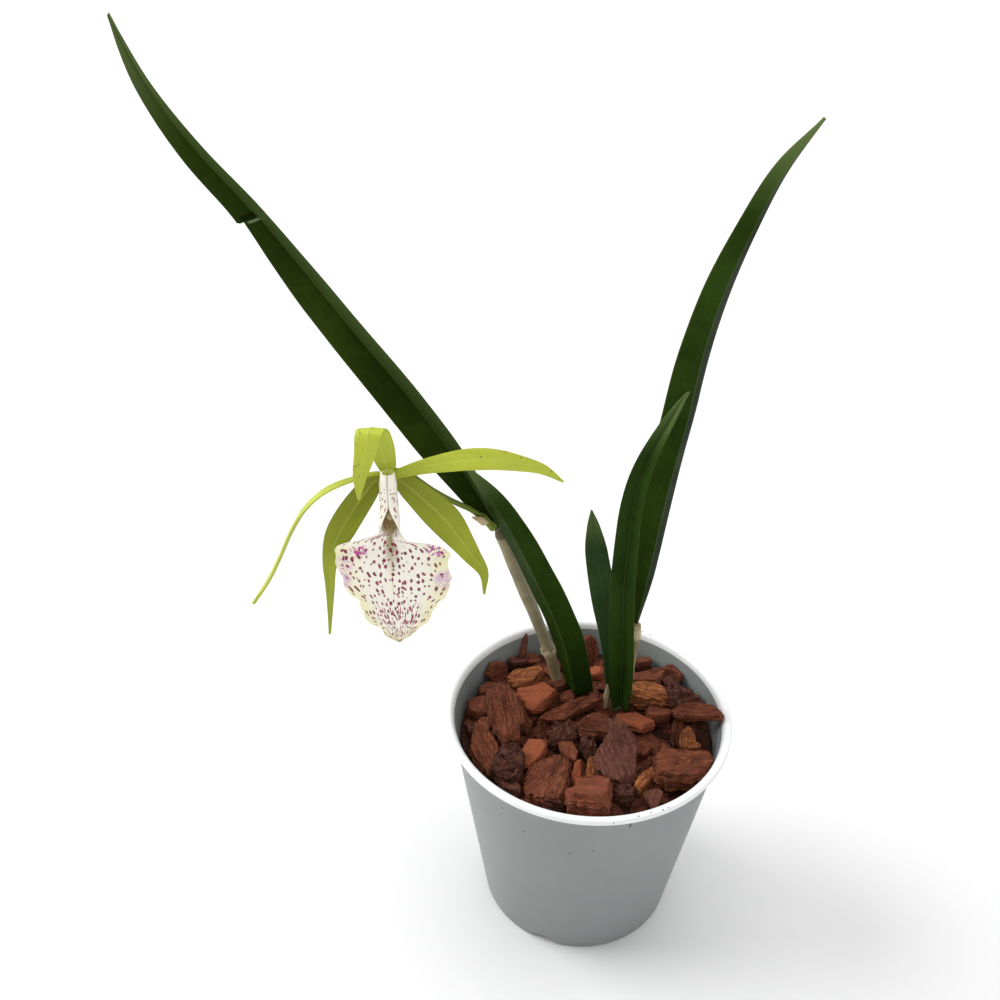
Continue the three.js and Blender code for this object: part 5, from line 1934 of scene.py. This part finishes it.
    def _collar(self) -> Piece:
        """Makes the torn ring of dry skin round the old cane's joint.

        Returns:
            The new object.
        """
        line = MidLine(CANE)
        t = np.array([0.24])
        place, side, up = (value[0] for value in axes_along(line, [(0, -1, 0), (0, -1, 0)], t))
        axis = line.tangent(t)[0]
        count = 72
        angle = 2 * math.pi * np.arange(count) / count
        out = side * np.cos(angle)[:, None] + up * np.sin(angle)[:, None]
        torn = 0.5 * np.sin(5 * angle) + 0.35 * np.sin(11 * angle + 1) + 0.2 * np.sin(23 * angle)
        section = [(2.15, 0.0), (2.4, 0.1), (2.5, 1.2), (2.45, 2.3), (2.3, 2.4), (2.2, 1.2)]
        rings = []
        for radius, height in section:
            rise = height + torn * eased(height, 1.0, 2.4)
            rings.append(place + out * radius + axis * rise[:, None])
        faces = ring_faces(len(section), count, closed=True)
        piece = mesh_piece("sheath_cane", np.vstack(rings), faces)
        piece.data.uv_layers.new(name="UVMap")
        return piece


# The flower


@dataclass
class Flower:
    """One open flower: its stalk, sepals and petals, the spotted lip and the column."""

    sepal_thickness: float = 0.9

    def stalks(self) -> list[Stem]:
        """Lists the stalk's stretches.

        Returns:
            The stretches, and the heart and column of the flower.
        """
        return [
            Stem("stalk_lower", [(-31, 11, 138.6), (-32.6, 9.8, 141.4), (-34.4, 8.4, 144.2)],
                 along((0, 1.25), (0.5, 1.1), (0.85, 1.35), (1, 1.2)), stations=24, relief=0.04,
                 seed=1.0),
            Stem("stalk_ovary", [(-35, 8, 145), (-37.7, 6, 148.5), (-42.6, 2.8, 153.3),
                                 (-47.4, -0.8, 158.9), (-53.5, -5.2, 166.5), (-58.2, -9.2, 170)],
                 along((0, 1.0), (0.04, 0.8), (0.7, 0.8), (0.95, 1.6), (1, 1.65)), stations=90,
                 relief=0.05, seed=2.0),
            Stem("flower_column", [(-59, -11.2, 168.6), (-58.6, -13, 165.8), (-58.3, -15, 162.6)],
                 along((0, 1.1), (0.6, 1.2), (1, 1.3)), stations=30, relief=0.03, seed=4.0),
            Stem("flower_heart", [(-57.9, -8, 171.4), (-58.6, -9.4, 171.5), (-59, -10.8, 169.8),
                                  (-58.9, -12, 167.2)],
                 along((0, 1.1), (0.3, 1.9), (0.6, 1.5), (1, 1.1)), stations=40, relief=0.1,
                 seed=6.0),
        ]

    def petals(self) -> list[tuple[Sheet, str, str]]:
        """Lists the sepals and petals with the finish and the solid of each.

        Returns:
            The blades, each with the name of its finish and of its solid.
        """
        dorsal = self._blade(
            "sepal_dorsal",
            [(-58.8, -10, 169.9), (-59.5, -11.6, 176.2), (-60.3, -13.6, 182.4), (-61.4, -16.4, 187.6),
             (-62.2, -19.4, 188.4), (-63.2, -21.4, 183.4), (-64.6, -22.8, 177.2), (-65, -24, 171.2)],
            [(-0.1, -0.9, 0.3), (-0.1, -0.9, 0), (0.12, 0, -0.9), (-0.2, 0.8, -0.4), (-0.3, 0.9, -0.2)],
            along((0, 1.5), (0.12, 2.9), (0.3, 3.5), (0.45, 3.6), (0.56, 3.5), (0.68, 2.8), (0.85, 1.8),
                  (1, 0.3)),
            bow=0.08, rib=-0.06, keel=0.12)
        petal_right = self._blade(
            "petal_right_side",
            [(-58.4, -10.6, 169.9), (-56.2, -10.8, 170.8), (-50.3, -12.4, 173.9), (-43.9, -13.9, 176.5),
             (-37.5, -14.2, 177.9), (-31.1, -14.5, 178.3), (-24.7, -13.8, 176.9), (-18.4, -12.9, 174.6),
             (-12.7, -12, 170.3)],
            [(0, -0.9, 0.4), (0, -0.9, 0.4)],
            along((0, 1.1), (0.2, 2), (0.5, 2.9), (0.85, 1.5), (1, 0.3)),
            fold=8, rib=-0.05, keel=0.1, warp=lambda t, u: 0.25 * u * np.sin(9 * t))
        petal_left = self._blade(
            "petal_left_side",
            [(-59.2, -10.6, 170), (-61.7, -10.8, 170.6), (-68.6, -12.2, 169.2), (-75.2, -13.4, 166.3),
             (-80.9, -13.4, 160.5), (-85.3, -13.3, 152.8), (-89, -13.2, 144.2), (-93.1, -13.1, 135.6),
             (-98, -13, 127.6)],
            [(-0.1, 0.2, 0.95), (-0.5, 0.05, 0.8), (-0.8, -0.1, 0.5)],
            along((0, 1.1), (0.45, 2.8), (0.85, 1.4), (1, 0.3)), fold=8, rib=-0.05, keel=0.1)
        sepal_left = self._blade(
            "sepal_left_side",
            [(-59.4, -10.6, 169.6), (-62, -11, 168.4), (-66.4, -12.4, 162.7), (-69.9, -13.9, 157.3),
             (-73.1, -14.9, 151.2), (-74.8, -15.8, 144.4), (-75.2, -16.3, 136.7), (-75.7, -16.6, 128.6),
             (-76.3, -17, 120.6)],
            [(-0.2, -0.9, 0.3), (-0.5, -0.85, 0.1)],
            along((0, 1.4), (0.13, 3.4), (0.32, 4), (0.6, 2.1), (1, 0.3)), fold=16, rib=-0.05, keel=0.1)
        sepal_right = self._blade(
            "sepal_right_side",
            [(-58.4, -10.6, 169.4), (-55.6, -10.4, 168.4), (-52.2, -11.5, 166.1), (-47.9, -12.1, 162),
             (-43.7, -12.5, 157.4), (-40.1, -12.4, 151.8), (-36.7, -12.2, 145.9), (-33.3, -12.1, 139.7),
             (-33, -12, 132.2)],
            [(0.2, -0.9, 0.3), (0.4, -0.9, 0.1)],
            along((0, 1.4), (0.14, 3.3), (0.38, 4.5), (0.62, 3.1), (0.82, 1.6), (1, 0.3)),
            fold=12, rib=-0.05, keel=0.1)
        return [
            (dorsal, "petal_specked", "dorsal_sepal"),
            (petal_right, "petal_light", "petal_right"),
            (petal_left, "petal_light", "petal_left"),
            (sepal_left, "sepal_olive", "lateral_sepal_left"),
            (sepal_right, "sepal_olive", "lateral_sepal_right"),
        ]

    def _blade(self, name: str, path: Sequence[Point], facing: Sequence[Point], half: Profile,
               **extra: Any) -> Sheet:
        """Gives one sepal or petal, which is as wide on both sides."""
        return Sheet(name, path, facing, half, half, self.sepal_thickness, stations=120, **extra)

    def lip(self) -> Sheet:
        """Gives the lip: a tube round the column that opens into a ruffled blade.

        Returns:
            The lip.
        """
        left = along((0, 5), (0.07, 6.6), (0.26, 7), (0.3, 5.6), (0.34, 4.3), (0.378, 4.3),
                     (0.392, 10.6), (0.43, 14.9), (0.462, 15.6), (0.52, 15.2), (0.603, 15.9),
                     (0.697, 14.4), (0.76, 12.2), (0.825, 9.9), (0.88, 7.6), (0.928, 5.4),
                     (0.975, 2.6), (1, 0.3))
        right = along((0, 5), (0.07, 6.6), (0.26, 7), (0.3, 5.6), (0.335, 4.8), (0.352, 9),
                      (0.372, 12.8), (0.41, 14.8), (0.46, 15.4), (0.54, 14.8), (0.603, 13.7),
                      (0.63, 13.5), (0.697, 10.9), (0.76, 9.4), (0.825, 8.1), (0.88, 6.2), (0.928, 4.4),
                      (0.975, 2.2), (1, 0.3))
        curl = along((0, 352), (0.1, 357), (0.2, 356), (0.26, 310), (0.31, 230), (0.345, 155),
                     (0.372, 64), (0.395, 24), (0.42, 12), (1, 9))
        return Sheet("flower_lip",
                     [(-58.9, -9.6, 171.3), (-58.8, -9.9, 165.9), (-58.5, -12, 161.8),
                      (-58.2, -15, 157.4), (-57.9, -17.6, 152.8), (-57.8, -19.2, 146.6),
                      (-57.5, -20.4, 136), (-56.2, -20.4, 121.2)],
                     [(0, -0.84, 0.55), (0, -0.92, 0.36), (0, -0.99, 0.12)], self._ragged(left, 0.4),
                     self._ragged(right, 1.7), 0.7, curl=curl, warp=self._ruffle, stations=240)

    def _ragged(self, half: Profile, phase: float) -> Profile:
        """Makes one side of the lip's open part ragged."""
        return lambda t: half(t) + eased(t, 0.38, 0.45) * (1 - eased(t, 0.93, 1.0)) * (
            0.16 * np.sin(46 * t + phase) + 0.14 * np.sin(97 * t + 2 * phase))

    def _ruffle(self, t: Array, u: Array) -> Array:
        """Gives the lift of the lip's ruffled rim, its groove and its drooping sides.

        Args:
            t: shares along the lip.
            u: shares across it, from -1 to 1.

        Returns:
            The lift in mm.
        """
        open_part = eased(t, 0.35, 0.46)
        waves = np.sin(37 * t + np.where(u > 0, 0.6, 2.4)) + 0.6 * np.sin(71 * t + 3 * u)
        groove = -0.8 * np.exp(-((u / 0.07) ** 2)) * eased(t, 0.3, 0.38) * (1 - eased(t, 0.64, 0.87))
        folds = 0.16 * np.cos(9 * math.pi * u) * (1 - np.abs(u))
        droop = -1.8 * np.abs(u) ** 2 * (1 - eased(t, 0.55, 0.9))
        return groove + open_part * (0.6 * np.abs(u) ** 4 * waves + folds + droop)

    def build(self, finishes: dict[str, Material]) -> None:
        """Makes and dresses every piece of the flower.

        Args:
            finishes: the materials by name.
        """
        solids = {"stalk_lower": ("stalk", "peduncle"), "stalk_ovary": ("stalk", "ovary"),
                  "flower_column": ("column", "column"), "flower_heart": ("column",)}
        for stem in self.stalks():
            slot, *nodes = solids[stem.name]
            finish = "heart" if stem.name == "flower_heart" else slot
            dress(stem.build(), finishes[finish], slot, *nodes)
        for sheet, finish, node in self.petals():
            dress(sheet.build(), finishes[finish], "petal", node)
        dress(self.lip().build(), finishes["lip"], "lip", "lip")
        bract = along((0, 1.9), (0.5, 1.9), (1, 0.4))
        scale = Sheet("stalk_scale", [(-33.7, 7.4, 142), (-35.1, 6.5, 144), (-36.9, 5.3, 146.2)],
                      [(0.3, 0.8, 0.3), (0.3, 0.8, 0.3)], bract, bract, 0.4,
                      curl=along((0, 110), (1, 110)), stations=40)
        dress(scale.build(), finishes["paper"], "dry_sheath", "stalk_bract")
        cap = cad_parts["anther_cap"]
        cap.data.materials.clear()
        cap.data.materials.append(finishes["column"])


# The room


@dataclass
class Studio:
    """The camera, a pale floor and soft light."""

    eye: Point = (-29.15, -276.12, 342.49)
    pitch: float = 34.05
    roll: float = 1.298
    lens: float = 43.2

    def camera(self) -> None:
        """Sets the camera at the photograph's viewing angle."""
        tilt, roll = math.radians(self.pitch), math.radians(self.roll)
        forward = Vector((0, math.cos(tilt), -math.sin(tilt)))
        level = Vector((1, 0, 0))
        rise = level.cross(forward)
        right = math.cos(roll) * level + math.sin(roll) * rise
        up = -math.sin(roll) * level + math.cos(roll) * rise
        data = bpy.data.cameras.new("view")
        data.lens, data.sensor_width = self.lens, 36
        data.clip_start, data.clip_end = 0.01, 20
        camera = bpy.data.objects.new("view", data)
        turn = Matrix((right, up, -forward)).transposed().to_4x4()
        camera.matrix_world = Matrix.Translation(Vector(self.eye) * MM) @ turn
        bpy.context.collection.objects.link(camera)
        bpy.context.scene.camera = camera

    def floor(self) -> None:
        """Lays the pale floor."""
        reach = 9000
        corners = np.array([(-reach, -reach, 0), (reach, -reach, 0), (reach, reach, 0),
                            (-reach, reach, 0)])
        ground = mesh_piece("floor", corners, [(0, 1, 2, 3)])
        pale = Finish("Pale floor", Roughness=0.9, Specular_IOR_Level=0.1)
        pale.shader.inputs["Base Color"].default_value = (0.86, 0.86, 0.86, 1)
        ground.data.materials.append(pale.material)

    def lights(self) -> None:
        """Hangs the soft lights and sets the room's own light."""
        self._sun("overhead", (0.1, 0.3, 1.0), 60, 1.25)
        self._sun("window", (-0.85, 0.2, 0.6), 42, 2.3)
        self._sun("front", (0.25, -0.85, 0.45), 70, 0.35)
        self._sun("fill", (0.8, -0.3, 0.7), 60, 0.3)
        world = bpy.data.worlds.new("room")
        world.use_nodes = True
        world.node_tree.nodes["Background"].inputs[0].default_value = (1, 1, 1, 1)
        world.node_tree.nodes["Background"].inputs[1].default_value = 0.42
        bpy.context.scene.world = world
        bpy.context.scene.view_settings.view_transform = "Standard"

    def _sun(self, name: str, toward: Point, softness: float, power: float) -> None:
        """Hangs one broad soft light.

        Args:
            name: the light's name.
            toward: the direction from the object to the light.
            softness: how wide it looks from the object, in degrees.
            power: how strong it is.
        """
        data = bpy.data.lights.new(name, "SUN")
        data.angle, data.energy = math.radians(softness), power
        lamp = bpy.data.objects.new(name, data)
        lamp.matrix_world = Vector(toward).to_track_quat("Z", "Y").to_matrix().to_4x4()
        bpy.context.collection.objects.link(lamp)


def make_finishes() -> dict[str, Material]:
    """Builds every material of the object.

    Returns:
        The materials by name.
    """
    leaf = LeafFinish("Leaf", tone(46, 64, 12), tone(28, 44, 6), tone(60, 78, 26), tone(88, 106, 54),
                      tone(98, 114, 66))
    petal = PetalFinish("Petal", tone(186, 198, 62), tone(146, 156, 26), tone(206, 216, 110),
                        specks=0.12)
    recipes = {
        # The creased leaf: painted light on its right half and a painted shadow at its crease.
        "leaf_kinked": replace(leaf, name="Leaf with a crease, painted shadow and lit right half", crease=CREASE,
                               right=tone(66, 84, 40)),
        "leaf_blue": replace(leaf, name="Leaf, blue green", green=tone(40, 62, 14),
                             deep=tone(26, 44, 8)),
        # This leaf's right half is painted dark as painted shade.
        "leaf_right": replace(leaf, name="Leaf, deep green with painted shade on its right half", green=tone(42, 64, 16),
                              right=tone(16, 28, 8)),
        "leaf_front": replace(leaf, name="Leaf, fresh green", green=tone(42, 66, 20),
                              deep=tone(28, 48, 12)),
        "leaf_pale": replace(leaf, name="Leaf, grey green", green=tone(58, 84, 44),
                             deep=tone(40, 64, 34)),
        "petal_light": petal,
        "petal_specked": replace(petal, name="Petal, specked", specks=0.6),
        # The sepals' painted shade reaches further up from the foot.
        "sepal_olive": replace(petal, name="Sepal", green=tone(154, 164, 30),
                               olive_and_painted_shade=tone(116, 124, 8), foot=0.6, specks=0.0),
        "lip": LipFinish("Lip"),
        "column": StemFinish("Column", tone(176, 164, 112), tone(140, 128, 78),
                             tone(190, 180, 130), 0.45, 5),
        "heart": StemFinish("Flower heart", tone(190, 200, 92), tone(150, 160, 50),
                            tone(210, 216, 130), 0.45, 5),
        "stalk": StemFinish("Stalk", tone(116, 132, 44), tone(84, 100, 34), tone(140, 150, 70),
                            0.42, 6),
        "cane_old": StemFinish("Ripe cane", tone(150, 142, 112), tone(112, 104, 76),
                               tone(178, 170, 140), 0.5, 15,
                               ((0.985, 0.03, tone(64, 56, 30)), (0.25, 0.02, tone(196, 178, 130)))),
        "cane_buried": StemFinish("Buried cane", tone(120, 112, 80), tone(90, 84, 56),
                                  tone(150, 140, 108)),
        "cane_right": StemFinish("Sheathed cane", tone(160, 146, 110), tone(116, 102, 72),
                                 tone(196, 184, 150), 0.6, 14,
                                 ((0.1, 0.35, tone(84, 72, 48)), (0.92, 0.08, tone(198, 186, 152)))),
        "shoot_young": StemFinish("Young shoot", tone(96, 112, 54), tone(70, 88, 40),
                                  tone(120, 134, 80)),
        "paper": StemFinish("Dry sheath", tone(200, 184, 146), tone(150, 128, 92),
                            tone(220, 208, 176), 0.7, 12),
        "root": StemFinish("Root skin", tone(186, 178, 156), tone(150, 140, 112),
                           tone(206, 200, 184), 0.7, 3),
        "brown": BarkFinish("Bark, brown", tone(110, 58, 38), tone(52, 27, 19), tone(146, 84, 55)),
        "orange": BarkFinish("Bark, orange", tone(144, 76, 48), tone(96, 48, 32),
                             tone(164, 92, 58), fibre=0.35, flecks=0.15, depth=0.25),
        "orange_flecked": BarkFinish("Bark, orange with flecks", tone(132, 70, 48),
                                     tone(86, 46, 34), tone(158, 94, 66), fibre=0.5, flecks=0.9,
                                     depth=0.4),
        "golden": BarkFinish("Bark, golden", tone(120, 66, 38), tone(58, 30, 20),
                             tone(188, 118, 64), fibre=1.0, depth=0.7),
        "dark_purple": BarkFinish("Bark, purple brown", tone(106, 63, 49), tone(58, 33, 27),
                                  tone(134, 86, 68), fibre=0.6),
        "dark_flecked": BarkFinish("Bark, dark", tone(84, 46, 34), tone(40, 20, 16),
                                   tone(120, 74, 54), fibre=0.8, flecks=0.9, depth=0.8),
        # Bed and crumbs: dark bark, darkened further as painted shade for the gaps between the chips.
        "bed": BarkFinish("Bark crumbs", tone(78, 40, 28), tone(20, 10, 8), tone(112, 62, 42)),
        # The pot's near-white rim colour is a painted highlight.
        "pot": PotFinish("Grey plastic", tone(136, 141, 140), tone(126, 131, 131),
                         tone(240, 242, 242), 74.9),
    }
    return {name: recipe.make() for name, recipe in recipes.items()}


def main() -> None:
    """Builds the scene and reports each piece."""
    logging.basicConfig(level=logging.INFO, format="%(name)s: %(message)s")
    studio = Studio()
    studio.camera()
    studio.floor()
    studio.lights()
    finishes = make_finishes()
    dress(NurseryPot().build(finishes["pot"]), finishes["pot"], "pot_plastic", "pot")
    BarkBed().build(finishes["bed"], finishes["brown"])
    BarkChips(CHIPS, finishes).build()
    Plant().build(finishes)
    Flower().build(finishes)


if __name__ == "__main__":
    main()
